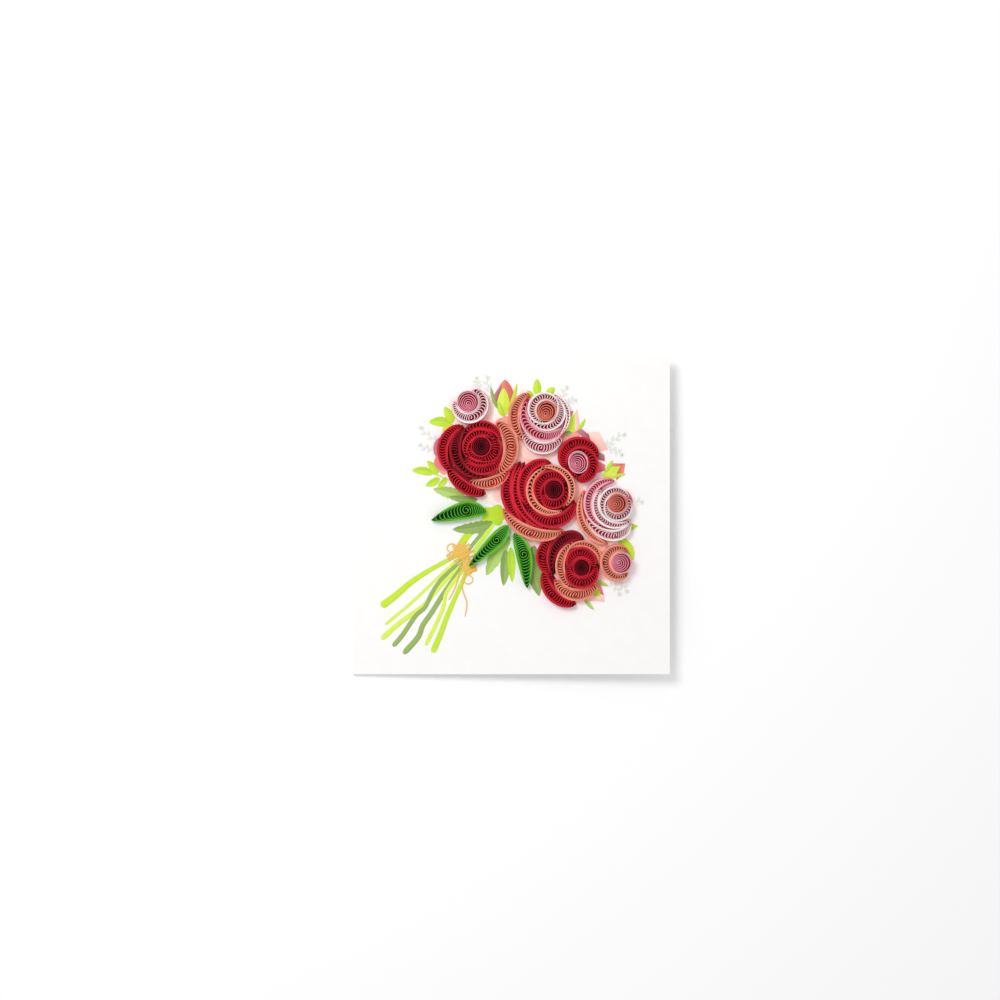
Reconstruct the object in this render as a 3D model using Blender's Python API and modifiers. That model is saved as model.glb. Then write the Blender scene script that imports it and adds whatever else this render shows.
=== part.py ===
"""A square folded greeting card whose front carries a bouquet of quilled paper roses.

A quilled rose is made of narrow paper strips that stand on edge. Its middle is a loose coil wound off
centre. Round the coil stand the petals, each one a longer coil that is pinched at both ends and bent
into a crescent. Three leaves are quilled the same way. The stems, the other leaves, the buds and the
twine that ties the stems are printed flat on the card.

The card lies on its back panel, with its fold on the left, and springs open a little. X runs to the
right across the front, Y up the front and Z out of it. The origin is the bottom centre of the card.
Places on the front are written in millimetres from the middle of the card, and bearings in degrees,
anticlockwise from the right.
"""

import math
from typing import NamedTuple

import bmesh
import bpy
from mathutils import Matrix, Vector

MM = 0.001

# The card
CARD_SIDE = 0.1524
CARD_STOCK = 0.00035
FOLD_RADIUS = 0.0009
SPRING_OPEN = math.radians(2.5)
FOLD_STEPS = 8

# The bouquet is drawn for a card that leaves this margin above and below it
EDGE_MARGIN = 0.0096
DRAWN_HEIGHT = 0.1332
DRAWING_SCALE = (CARD_SIDE - 2 * EDGE_MARGIN) / DRAWN_HEIGHT

# The quilling strips: one turn here is a few layers of thin paper wound together
STRIP_THICKNESS = 0.00035
TURN_SPACE = 0.0002 * DRAWING_SCALE
OUTER_PETAL_HEIGHT = 0.003
INNER_PETAL_HEIGHT = 0.004
COIL_HEIGHT = 0.005
LEAF_HEIGHT = 0.003
SEAT_GAP = 0.0003

# An inner petal's crown is no further than this from the middle of its rose
INNER_ROW_REACH = 10.6 * MM

# A petal that sweeps through more degrees is drawn with more steps, and a long cupped one with most
LONG_SWEEP = 110
CUPPED_SWEEP = 140
GREAT_LENGTH = 26 * MM
STEPS_OF_SHORT_PETAL = 4
STEPS_OF_LONG_PETAL = 6
STEPS_OF_GREAT_PETAL = 8
PINCH_REACH = 0.96
BLUNT_INSET = 0.00025 * DRAWING_SCALE

# A crescent of this breadth in the drawing, in millimetres, has room for a second and a third turn
TWO_TURNS_FROM = 3.5
THREE_TURNS_FROM = 4.2

# The open coil at the middle of a rose
COIL_TURNS = 2.5
COIL_STEPS = 12
COIL_PITCH = 0.0016

# Print is a thin layer of ink, and a later field lies a little over an earlier one
INK_THICKNESS = 0.00003
INK_STEP = 0.000012
INK_SUNK = 0.0001

PAPERS = {
    "red": "#D8304A",
    "maroon": "#6A0A1C",
    "coral": "#F07A5E",
    "pink": "#F2A8BE",
    "blush": "#FBE3EA",
    "leaf_green": "#5BAF22",
}
INKS = {
    "card_white": "#FBFAF7",
    "lime": "#C0E82E",
    "pale_lime": "#D5F04B",
    "olive": "#93B05A",
    "sage": "#B5D96B",
    "ochre": "#F4C95A",
    "peach": "#FBD9CC",
    "rose_pink": "#F3B7C2",
    "bud_coral": "#F28A74",
    "sprig_grey": "#DDE1D8",
}


class Petal(NamedTuple):
    """A crescent about the middle of its rose, in degrees and millimetres.

    It runs from the start bearing to the end bearing, each with the radius of its pinched tip. At its
    fullest place its hollow side and its crown are at these radii. Peak moves that place towards the
    start (negative) or the end (positive), and a low fullness exponent makes blunter tips.
    """

    paper: str
    start: float
    end: float
    start_radius: float
    end_radius: float
    hollow: float
    crown: float
    peak: float = 0.0
    fullness: float = 0.7


class Rose(NamedTuple):
    """A coil, its two radii and the place of its eye from its middle, and the petals round it."""

    middle: tuple
    coil_paper: str
    coil_radii: tuple
    coil_turned: float
    eye: tuple
    petals: tuple


class Leaf(NamedTuple):
    """A pinched coil from tip to base, bowed to the left of that line by this much."""

    tip: tuple
    base: tuple
    bow: float
    half_width: float
    peak: float
    fullness: float = 0.7


ROSES = {
    "left_rose": Rose(
        (-14.4, 33.1),
        "maroon",
        (4.5, 4.7),
        0,
        (0.4, 0.3),
        (
            Petal("red", 30, 206, 7.2, 8.6, 5.1, 8.4, 0.1),
            Petal("red", -70, 26, 6.2, 6.6, 4.9, 9.6),
            Petal("red", 192, 280, 6.4, 5.9, 5.0, 6.9),
            Petal("red", 214, 302, 8.7, 9.0, 7.3, 9.0),
            Petal("red", 22, 138, 10.2, 10.3, 8.7, 12.1),
            Petal("red", 220, 334, 10.4, 10.8, 9.5, 13.5, 0.1, 0.8),
            Petal("coral", -54, 53, 15.0, 13.6, 11.0, 17.8),
            Petal("coral", 257, 316, 17.6, 17.7, 15.7, 20.6),
            Petal("maroon", 138, 282, 11.6, 15.1, 10.2, 15.2, -0.25, 0.9),
            Petal("red", 135, 214, 13.2, 18.8, 15.7, 20.3, 0.0, 0.6),
            Petal("red", 215, 272, 18.6, 22.8, 18.3, 23.6, 0.1),
        ),
    ),
    "middle_rose": Rose(
        (20.5, 12.5),
        "maroon",
        (4.5, 4.7),
        0,
        (-0.4, 0.2),
        (
            Petal("red", 36, 220, 6.0, 8.2, 5.0, 9.6),
            Petal("red", 212, 366, 5.8, 5.8, 5.0, 9.1, -0.25, 0.8),
            Petal("coral", 106, 286, 10.6, 10.8, 10.0, 13.3, 0.1),
            Petal("coral", -53, 115, 9.9, 12.4, 7.5, 10.3),
            Petal("red", 101, 214, 12.9, 14.2, 13.6, 17.6, -0.15),
            Petal("red", 141, 257, 19.4, 19.2, 16.9, 19.9, 0.0, 0.8),
            Petal("red", 143, 226, 20.9, 20.9, 20.5, 25.2, 0.05, 1.2),
            Petal("red", 219, 327, 14.8, 11.2, 12.4, 18.2),
            Petal("coral", 204, 281, 26.0, 20.6, 22.0, 26.5, 0.0, 0.8),
        ),
    ),
    "lower_rose": Rose(
        (33.7, -24.8),
        "maroon",
        (4.0, 4.2),
        0,
        (-0.3, -0.3),
        (
            Petal("red", 6, 182, 5.3, 5.2, 4.6, 9.7, 0.0, 0.9),
            Petal("red", 180, 362, 6.0, 6.4, 4.8, 10.1, 0.0, 0.9),
            Petal("coral", 110, 238, 12.9, 11.2, 8.4, 12.3),
            Petal("coral", 14, 120, 8.6, 10.6, 9.9, 12.5, 0.0, 0.8),
            Petal("coral", 211, 304, 14.1, 11.3, 10.9, 16.2),
            Petal("maroon", 90, 191, 13.8, 13.8, 13.3, 18.6, -0.35, 0.9),
            Petal("red", 138, 193, 19.4, 14.8, 16.9, 22.0),
            Petal("red", 188, 258, 17.6, 18.0, 16.5, 21.7),
        ),
    ),
    "top_rose": Rose(
        (16.8, 50.1),
        "coral",
        (4.5, 4.6),
        0,
        (-0.7, -1.2),
        (
            Petal("blush", 20, 248, 5.5, 5.6, 4.9, 9.0),
            Petal("blush", 204, 392, 8.9, 7.2, 5.2, 9.4, 0.25, 0.8),
            Petal("pink", 149, 311, 9.9, 11.6, 9.5, 14.6, 0.25),
            Petal("blush", 227, 296, 15.2, 14.9, 15.2, 20.6),
            Petal("coral", 139, 233, 11.8, 17.6, 13.0, 17.7, -0.05),
            Petal("blush", -56, 60, 13.6, 8.4, 9.4, 10.9),
        ),
    ),
    "side_rose": Rose(
        (50.8, 5.9),
        "coral",
        (4.4, 4.4),
        0,
        (-1.2, -0.4),
        (
            Petal("blush", 28, 220, 5.6, 8.1, 4.8, 8.2),
            Petal("blush", 196, 374, 5.5, 5.5, 4.8, 8.5, -0.1),
            Petal("blush", 141, 302, 9.8, 10.4, 8.9, 12.3),
            Petal("pink", 101, 234, 10.7, 13.3, 11.9, 15.8),
            Petal("blush", 203, 300, 16.1, 11.4, 13.6, 17.9, 0.3, 0.8),
            Petal("coral", 162, 254, 16.9, 20.2, 17.9, 21.0, 0.2, 0.8),
        ),
    ),
    "pink_bud": Rose(
        (-20.6, 54.5),
        "pink",
        (5.0, 4.9),
        0,
        (0.0, -1.3),
        (Petal("blush", -172, 60, 6.4, 6.0, 5.4, 10.3),),
    ),
    "red_bud": Rose(
        (32.1, 25.5),
        "pink",
        (4.4, 5.1),
        15,
        (-0.8, -0.8),
        (
            Petal("red", 22, 200, 9.8, 6.1, 6.4, 11.7),
            Petal("red", -84, 74, 8.2, 5.6, 5.4, 10.2, -0.3),
            Petal("red", 212, 268, 5.8, 8.4, 5.5, 6.9),
        ),
    ),
    "coral_bud": Rose(
        (52.7, -22.6),
        "pink",
        (4.8, 4.9),
        0,
        (-1.3, 0.0),
        (Petal("coral", 68, 292, 6.4, 6.3, 5.3, 9.9),),
    ),
}

QUILLED_LEAVES = {
    "leaf_left": Leaf((-38.4, -2.3), (-11.8, 2.0), 2.1, 4.3, 0.3),
    "leaf_middle": Leaf((-20.4, -24.5), (-1.3, -4.7), -0.8, 3.6, 0.35),
    "leaf_right": Leaf((7.7, -35.0), (1.4, -8.4), -2.2, 3.8, 0.2),
}


class Field(NamedTuple):
    """A printed bloom or bud: a rounded patch with this many lobes."""

    ink: str
    middle: tuple
    reach: tuple
    turned: float = 0.0
    lobes: int = 5


class PrintedLeaf(NamedTuple):
    """A flat leaf or sepal from tip to base, bowed to the left of that line."""

    ink: str
    tip: tuple
    base: tuple
    half_width: float
    bow: float = 0.0


class Stem(NamedTuple):
    """A printed line of one width through these places."""

    ink: str
    width: float
    route: tuple


LOBE_DEPTH = 0.14
PRINTED_BLOOMS = (
    Field("peach", (-17.0, 52.5), (14.5, 12.0), 20, 6),
    Field("peach", (-4.0, 45.5), (6.5, 5.5), 0, 5),
    Field("rose_pink", (-33.0, 26.0), (4.4, 7.6), 10, 5),
    Field("rose_pink", (41.5, 25.0), (4.8, 7.2), 0, 5),
    Field("peach", (9.6, 32.0), (6.0, 5.2), 0, 5),
    Field("peach", (40.2, 36.6), (3.6, 3.0), 0, 5),
    Field("peach", (-9.6, 8.6), (3.2, 2.6), 0, 5),
    Field("sprig_grey", (-11.8, 63.6), (3.4, 2.6), 0, 4),
    Field("sprig_grey", (26.4, 57.4), (2.6, 2.8), 0, 4),
    Field("sprig_grey", (-40.2, 36.7), (2.6, 3.6), 0, 4),
    Field("sprig_grey", (50.9, 33.4), (2.8, 2.8), 0, 4),
    Field("sprig_grey", (60.4, 5.9), (1.9, 4.2), 0, 4),
    Field("sprig_grey", (49.9, -35.0), (2.8, 2.0), 0, 4),
)
PRINTED_LEAVES = (
    PrintedLeaf("sage", (-37.4, 12.7), (-21.5, 7.4), 2.6, 0.8),
    PrintedLeaf("sage", (-28.1, -6.8), (-8.8, -3.6), 2.2, -0.8),
    PrintedLeaf("sage", (-11.8, -28.8), (-0.7, -12.1), 2.8, 0.9),
    PrintedLeaf("olive", (-3.4, -33.5), (-2.4, -18.3), 1.9),
    PrintedLeaf("pale_lime", (1.0, -32.2), (-0.2, -17.2), 1.9),
    PrintedLeaf("olive", (13.5, -38.7), (11.0, -14.4), 3.6, 1.4),
    PrintedLeaf("lime", (-39.5, 44.8), (-28.9, 43.8), 2.4, 0.8),
    PrintedLeaf("lime", (-32.0, 52.2), (-28.3, 44.2), 2.2, 0.5),
    PrintedLeaf("pale_lime", (-33.1, 40.4), (-28.7, 43.7), 1.3),
    PrintedLeaf("sage", (-47.6, 21.7), (-37.3, 20.0), 2.0, 0.6),
    PrintedLeaf("sage", (-40.3, 26.2), (-35.2, 19.8), 1.8, 0.4),
    PrintedLeaf("olive", (-40.9, 14.2), (-34.3, 18.0), 1.8, -0.4),
    PrintedLeaf("sage", (12.4, 65.6), (12.6, 57.4), 2.0),
    PrintedLeaf("sage", (20.8, 63.4), (17.2, 57.6), 1.8),
    PrintedLeaf("olive", (7.2, 61.0), (10.6, 56.8), 1.3),
    PrintedLeaf("olive", (60.7, -5.4), (54.6, -2.6), 1.5),
    PrintedLeaf("sage", (59.0, -21.8), (51.0, -8.2), 2.9, -0.8),
    PrintedLeaf("sage", (39.8, -45.3), (35.2, -39.2), 1.2, 0.4),
    PrintedLeaf("sage", (46.9, -33.9), (40.5, -30.6), 1.2, 0.4),
)
PRINTED_BUDS = (
    Field("bud_coral", (-2.7, 59.0), (4.4, 5.4), 0, 5),
    Field("bud_coral", (29.6, 45.6), (3.2, 5.6), -30, 4),
    Field("bud_coral", (51.2, 21.4), (3.9, 4.1), 0, 5),
    Field("bud_coral", (42.8, -34.8), (1.9, 3.0), 0, 4),
    Field("peach", (40.4, -39.8), (4.0, 1.6), 0, 4),
    Field("lime", (39.6, -35.9), (2.5, 2.9), 0, 4),
)
SEPALS = (
    PrintedLeaf("lime", (-3.4, 60.6), (-3.9, 47.6), 2.9),
    PrintedLeaf("sage", (-9.6, 61.2), (-5.4, 50.4), 1.1, -0.6),
    PrintedLeaf("sage", (2.7, 63.2), (-2.0, 50.8), 1.1, 0.6),
    PrintedLeaf("lime", (33.4, 48.4), (26.8, 41.0), 1.8, -0.7),
    PrintedLeaf("lime", (43.4, 25.4), (52.2, 17.2), 2.1, -1.2),
)
STEMS = (
    Stem("lime", 2.4, ((-23.0, -17.5), (-38.2, -25.8), (-47.7, -31.9), (-61.6, -43.0))),
    Stem("pale_lime", 1.9, ((-23.4, -18.9), (-36.0, -30.7), (-47.7, -41.8), (-59.5, -51.6))),
    Stem("pale_lime", 2.2, ((-22.6, -22.2), (-34.4, -34.5), (-42.0, -43.2), (-61.4, -58.8))),
    Stem("olive", 1.8, ((-22.5, -20.6), (-37.5, -36.4), (-41.3, -44.0), (-45.8, -48.2), (-56.1, -61.9))),
    Stem("olive", 1.9, ((-22.2, -22.8), (-31.4, -36.0), (-42.4, -52.8), (-44.7, -58.5), (-50.7, -65.7))),
    Stem("pale_lime", 1.9, ((-21.6, -24.4), (-30.6, -36.4), (-32.5, -44.0), (-40.5, -61.5))),
    Stem("lime", 2.4, ((-20.6, -25.6), (-25.3, -36.0), (-30.6, -48.2), (-37.1, -64.7))),
    Stem("lime", 2.2, ((-25.5, -16.4), (-19.8, -8.4), (-9.6, -0.6))),
    Stem("olive", 1.8, ((-21.3, -17.6), (-13.5, -7.8), (-7.5, 0.8))),
    Stem("pale_lime", 2.0, ((-18.4, -18.0), (-9.6, -5.7), (-5.8, 1.2))),
)
LIME_PATCH = Field("lime", (-7.7, 0.8), (5.2, 3.8), 20, 5)
TWINE_WRAPS = (
    Field("ochre", (-25.4, -17.6), (7.2, 3.1), 36, 5),
    Field("ochre", (-21.6, -24.0), (4.8, 2.7), 50, 5),
)
TWINE_LOOPS = ((-28.6, -13.0), (-18.0, -29.8))
TWINE_LOOP_RADIUS = 2.4
TWINE_WIDTH = 1.0
LOOP_STEPS = 9
TWINE_TAILS = (
    Stem("ochre", 1.1, ((-24.0, -25.5), (-26.6, -34.0), (-29.9, -40.6))),
    Stem("ochre", 1.1, ((-22.0, -25.2), (-22.2, -36.0), (-21.2, -42.1), (-22.1, -48.6))),
)


def linear(hex_colour):
    """The linear RGBA of an sRGB hex colour."""
    channels = [int(hex_colour[i : i + 2], 16) / 255 for i in (1, 3, 5)]
    return [c / 12.92 if c <= 0.04045 else ((c + 0.055) / 1.055) ** 2.4 for c in channels] + [1.0]


def material(name):
    """The matte paper or ink of this name."""
    made = bpy.data.materials.get(name)
    if made is None:
        made = bpy.data.materials.new(name)
        made.use_nodes = True
        shader = made.node_tree.nodes["Principled BSDF"]
        shader.inputs["Base Color"].default_value = linear({**PAPERS, **INKS}[name])
        shader.inputs["Roughness"].default_value = 0.85
        shader.inputs["Metallic"].default_value = 0.0
        made.diffuse_color = shader.inputs["Base Color"].default_value
    return made


def own_material(name, colour):
    """A copy of the paper for one sub-part."""
    made = material(colour).copy()
    made.name = name + "_paper"
    return made


def new_collection(name):
    made = bpy.data.collections.new(name)
    bpy.context.scene.collection.children.link(made)
    return made


def empty(name, collection, parent=None, location=(0, 0, 0), tilt=0.0):
    made = bpy.data.objects.new(name, None)
    made.empty_display_size = 0.01
    made.location = location
    made.rotation_euler = (0, tilt, 0)
    made.parent = parent
    collection.objects.link(made)
    return made


def drawn(length):
    """A length of the drawing, in metres on this card."""
    return length * MM * DRAWING_SCALE


def on_panel(place):
    """A place of the drawing, in the front panel's own frame, whose Y axis is the fold."""
    return Vector((CARD_SIDE / 2 - FOLD_RADIUS + drawn(place[0]), drawn(place[1])))


class PetalOutline:
    """Points of a crescent, by how far along it they are and how far from its spine."""

    def __init__(self, petal):
        self.petal = petal
        self.half = drawn(petal.crown - petal.hollow) / 2
        self.peak_base = self.tip_line(petal.peak)

    def tip_line(self, along):
        start, end = drawn(self.petal.start_radius), drawn(self.petal.end_radius)
        return start + (end - start) * (along + 1) / 2

    def half_width(self, warped):
        return self.half * (1 - warped * warped) ** self.petal.fullness

    def point(self, warped, away):
        petal = self.petal
        along = (warped + petal.peak) / (1 + petal.peak * warped)
        bearing = math.radians(petal.start + (petal.end - petal.start) * (along + 1) / 2)
        rise = drawn(petal.crown + petal.hollow) / 2 - self.peak_base
        radius = self.tip_line(along) + rise * (1 - warped * warped) + away
        return Vector((radius * math.cos(bearing), radius * math.sin(bearing)))


class LeafOutline:
    """Points of a leaf, by how far along it they are and how far from its midrib."""

    def __init__(self, leaf, origin=(0.0, 0.0)):
        self.leaf = leaf
        self.tip = Vector([drawn(a - b) for a, b in zip(leaf.tip, origin)])
        self.chord = Vector([drawn(b - a) for a, b in zip(leaf.tip, leaf.base)])
        self.side = Vector((-self.chord.y, self.chord.x)).normalized()

    def half_width(self, warped):
        return drawn(self.leaf.half_width) * (1 - warped * warped) ** self.leaf.fullness

    def point(self, warped, away):
        peak = self.leaf.peak
        along = (warped + peak) / (1 + peak * warped)
        rise = drawn(self.leaf.bow) * (1 - warped * warped)
        return self.tip + self.chord * (along + 1) / 2 + self.side * (rise + away)


def turns_in(breadth):
    return 1 + (breadth > TWO_TURNS_FROM) + (breadth > THREE_TURNS_FROM)


def pinched_coil(outline, steps, turns):
    """The line of a strip wound into an outline from its glued end to the eye of the coil.

    Each turn follows the outline one pitch further in and stops short of the turn before it, with a
    blunt end, so that the turns nest like those of a real coil that was pinched. The last turn ends
    on its hollow side, where two strands still fit side by side.
    """
    pitch = STRIP_THICKNESS + TURN_SPACE
    glued = STRIP_THICKNESS / 2

    def warped(step):
        return PINCH_REACH * (2 * step / steps - 1)

    def strand(step, side, inset):
        if step in (0, steps):
            return outline.point(warped(step), 0)
        return outline.point(warped(step), side * (outline.half_width(warped(step)) - inset))

    route = [strand(1, -1, glued)]
    turns = min(turns, steps // 2)
    for turn in range(turns):
        low, high, inset = turn, steps - turn, glued + turn * pitch
        ends = (low, high) if turn else ()
        for step in range(low, high + 1):
            route.append(strand(step, 1, inset + BLUNT_INSET * (step in ends)))
        last = low + 1
        goes_on = turn + 1 < turns
        for step in range(high - (turn == 0), low if goes_on else last, -1):
            deeper = inset + pitch * (high - step) / (high - last)
            blunt = step in ends or (goes_on and step == last)
            route.append(strand(step, -1, deeper + BLUNT_INSET * blunt))
    return route


def open_coil(rose):
    """The line of a loose coil wound round an eye that is off its middle."""
    eye = Vector([drawn(c) for c in rose.eye])
    turned = Matrix.Rotation(math.radians(rose.coil_turned), 2)
    mean = drawn(sum(rose.coil_radii) / 2)
    closed = STRIP_THICKNESS + TURN_SPACE
    route = []
    for i in range(round(COIL_TURNS * COIL_STEPS) + 1):
        turns = i / COIL_STEPS
        depth = STRIP_THICKNESS / 2 + closed * min(turns, 1) + COIL_PITCH * max(turns - 1, 0)
        share = 1 - depth / mean
        bearing = turns * math.tau
        across, up = (drawn(radius) for radius in rose.coil_radii)
        rim = Vector((math.cos(bearing) * across, math.sin(bearing) * up))
        route.append(eye * (1 - share) + turned @ rim * share)
    return route


def steps_for(petal):
    """How many steps a petal is drawn with, from its sweep and the length of its spine."""
    sweep = petal.end - petal.start
    spine = math.radians(sweep) * (petal.hollow + petal.crown) / 2 * MM
    if spine > GREAT_LENGTH and sweep > CUPPED_SWEEP:
        return STEPS_OF_GREAT_PETAL
    return STEPS_OF_LONG_PETAL if sweep > LONG_SWEEP else STEPS_OF_SHORT_PETAL


MITRE_OUTSIDE = 1.2
SHARE_OF_SEGMENT = 0.42


def strip_edges(route, half):
    """The closed outline of a strip of this half thickness along a line.

    On the outside of a bend the corner is cut off a little past the strip's thickness. On the inside it
    goes no further along its two segments than a share of the shorter one.
    """
    left, right = [], []
    for i, place in enumerate(route):
        before = place - route[i - 1] if i else route[1] - route[0]
        after = route[i + 1] - place if i + 1 < len(route) else before
        shorter = min(before.length, after.length)
        before, after = before.normalized(), after.normalized()
        along = (before + after).normalized()
        normal = Vector((-along.y, along.x))
        mitre = 1 / max(along.dot(after), 0.01)
        inside = min(mitre, math.hypot(1, SHARE_OF_SEGMENT * shorter / half))
        outside = min(mitre, MITRE_OUTSIDE)
        bends_left = before.x * after.y - before.y * after.x > 0
        left.append(place + normal * half * (inside if bends_left else outside))
        right.append(place - normal * half * (outside if bends_left else inside))
    return left + right[::-1]


def flat_shape(name, outlines, thickness, paper):
    """A 2D curve filled between these outlines, with its lower face at its origin's height less half."""
    curve = bpy.data.curves.new(name, "CURVE")
    curve.dimensions = "2D"
    curve.fill_mode = "BOTH"
    curve.extrude = thickness / 2
    for outline in outlines:
        spline = curve.splines.new("POLY")
        spline.points.add(len(outline) - 1)
        for point, place in zip(spline.points, outline):
            point.co = (place.x, place.y, 0, 1)
        spline.use_cyclic_u = True
    curve.materials.append(paper)
    return bpy.data.objects.new(name, curve)


def stand_strip(name, route, height, paper, parent, collection):
    """A paper strip on edge along a line, just above its parent's own level."""
    made = flat_shape(name, [strip_edges(route, STRIP_THICKNESS / 2)], height, own_material(name, paper))
    made.location = (0, 0, SEAT_GAP + height / 2)
    made.parent = parent
    collection.objects.link(made)
    return made


def quilled_rose(name, rose, panel, collection):
    place = on_panel(rose.middle)
    base = empty(name, collection, panel, (place.x, place.y, FOLD_RADIUS))
    stand_strip(name + "_coil", open_coil(rose), COIL_HEIGHT, rose.coil_paper, base, collection)
    for number, petal in enumerate(rose.petals, 1):
        inner = petal.crown * MM < INNER_ROW_REACH
        height = INNER_PETAL_HEIGHT if inner else OUTER_PETAL_HEIGHT
        turns = turns_in(petal.crown - petal.hollow)
        route = pinched_coil(PetalOutline(petal), steps_for(petal), turns)
        stand_strip(f"{name}_petal_{number}", route, height, petal.paper, base, collection)


def quilled_leaf(name, leaf, panel, collection):
    place = on_panel(leaf.tip)
    base = empty(name + "_tip", collection, panel, (place.x, place.y, FOLD_RADIUS))
    route = pinched_coil(LeafOutline(leaf, leaf.tip), STEPS_OF_LONG_PETAL, turns_in(2 * leaf.half_width))
    stand_strip(name, route, LEAF_HEIGHT, "leaf_green", base, collection)


def lobed_outline(field):
    """A rounded patch whose edge dips between its lobes."""
    turned = Matrix.Rotation(math.radians(field.turned), 2)
    outline = []
    for i in range(2 * field.lobes):
        bearing = math.pi * i / field.lobes
        share = 1 - LOBE_DEPTH * (i % 2)
        rim = Vector((drawn(field.reach[0]) * math.cos(bearing), drawn(field.reach[1]) * math.sin(bearing)))
        outline.append(on_panel(field.middle) + turned @ rim * share)
    return outline


LEAF_EDGE = (-0.62, 0.0, 0.62)


def leaf_outline(leaf):
    """The edge of a flat leaf, from its tip along one side to its base and back along the other."""
    shape = LeafOutline(Leaf(leaf.tip, leaf.base, leaf.bow, leaf.half_width, 0.15))
    middle = on_panel((0, 0))
    upper = [shape.point(w, shape.half_width(w)) for w in LEAF_EDGE]
    lower = [shape.point(w, -shape.half_width(w)) for w in reversed(LEAF_EDGE)]
    corners = [shape.point(-1, 0), *upper, shape.point(1, 0), *lower]
    start = Vector([drawn(c) for c in leaf.tip]) + middle - shape.tip
    return [corner + start for corner in corners]


def stem_outline(stem):
    return strip_edges([on_panel(place) for place in stem.route], drawn(stem.width) / 2)


def loop_outlines(middle):
    """The outer and inner edge of a loop of twine."""
    edges = []
    bearings = [math.tau * i / LOOP_STEPS for i in range(LOOP_STEPS)]
    rim = [Vector((math.cos(bearing), math.sin(bearing))) for bearing in bearings]
    for radius in (TWINE_LOOP_RADIUS, TWINE_LOOP_RADIUS - TWINE_WIDTH):
        edges.append([on_panel(middle) + place * drawn(radius) for place in rim])
    return edges


def printed_shapes():
    """Every field of colour, lowest first, as its ink and outlines."""
    yield from ((bloom.ink, [lobed_outline(bloom)]) for bloom in PRINTED_BLOOMS)
    yield from ((leaf.ink, [leaf_outline(leaf)]) for leaf in PRINTED_LEAVES)
    yield from ((stem.ink, [stem_outline(stem)]) for stem in STEMS)
    yield from ((field.ink, [lobed_outline(field)]) for field in (*PRINTED_BUDS, LIME_PATCH))
    yield from ((leaf.ink, [leaf_outline(leaf)]) for leaf in SEPALS)
    yield from (("ochre", loop_outlines(middle)) for middle in TWINE_LOOPS)
    yield from ((stem.ink, [stem_outline(stem)]) for stem in TWINE_TAILS)
    yield from ((field.ink, [lobed_outline(field)]) for field in TWINE_WRAPS)


LAYERS = 5


def print_front(panel, collection):
    """Each field as a thin solid that is sunk a little in the card, and higher than those it covers."""
    for number, (ink, outlines) in enumerate(printed_shapes()):
        layer = number % LAYERS
        top = INK_THICKNESS + INK_STEP * layer
        bottom = -INK_SUNK - INK_STEP * layer
        curve = flat_shape(f"print_{number:02}", outlines, top - bottom, material(ink))
        curve.location = (0, 0, FOLD_RADIUS + (top + bottom) / 2)
        curve.parent = panel
        as_mesh(curve, collection)


def as_mesh(curve, collection):
    """Puts a hidden mesh object in the place of a curve, with the curve's caps joined to its sides."""
    scene = bpy.context.scene.collection
    scene.objects.link(curve)
    bpy.context.view_layer.update()
    graph = bpy.context.evaluated_depsgraph_get()
    mesh = bpy.data.meshes.new_from_object(curve.evaluated_get(graph))
    work = bmesh.new()
    work.from_mesh(mesh)
    bmesh.ops.remove_doubles(work, verts=work.verts, dist=1e-7)
    bmesh.ops.recalc_face_normals(work, faces=work.faces)
    work.to_mesh(mesh)
    work.free()
    name, place = curve.name, curve.matrix_world.copy()
    bpy.data.objects.remove(curve)
    made = bpy.data.objects.new(name, mesh)
    made.matrix_world = place
    made.hide_render = True
    made.display_type = "WIRE"
    collection.objects.link(made)
    return made


def card_profile():
    """The middle of the card's thickness, seen along the fold: back panel, fold and front panel."""
    bend = FOLD_RADIUS - CARD_STOCK / 2
    axis = Vector((FOLD_RADIUS - CARD_SIDE / 2, FOLD_RADIUS))
    points = [Vector((CARD_SIDE / 2, CARD_STOCK / 2))]
    sweep = math.pi - SPRING_OPEN
    for i in range(FOLD_STEPS + 1):
        bearing = -math.pi / 2 - sweep * i / FOLD_STEPS
        points.append(axis + bend * Vector((math.cos(bearing), math.sin(bearing))))
    panel = Vector((math.cos(SPRING_OPEN), math.sin(SPRING_OPEN)))
    points.append(points[-1] + panel * (CARD_SIDE - FOLD_RADIUS))
    return points


def folded_card(collection, prints):
    """The folded sheet: its profile drawn out along the fold, thickened and joined with the print."""
    curve = bpy.data.curves.new("card", "CURVE")
    curve.dimensions = "3D"
    curve.extrude = CARD_SIDE / 2
    spline = curve.splines.new("POLY")
    profile = card_profile()
    spline.points.add(len(profile) - 1)
    for point, place in zip(spline.points, profile):
        point.co = (place.x, place.y, 0, 1)
    curve.materials.append(material("card_white"))
    sheet = bpy.data.objects.new("card_sheet", curve)
    sheet.rotation_euler = (math.pi / 2, 0, 0)
    card = as_mesh(sheet, collection)
    card.name = "card"
    card.hide_render = False
    card.display_type = "TEXTURED"
    stock = card.modifiers.new("stock", "SOLIDIFY")
    stock.thickness = CARD_STOCK
    stock.offset = 0
    stock.use_even_offset = True
    printing = card.modifiers.new("print", "BOOLEAN")
    printing.operation = "UNION"
    printing.solver = "EXACT"
    printing.operand_type = "COLLECTION"
    printing.collection = prints
    printing.material_mode = "TRANSFER"
    return card


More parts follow.
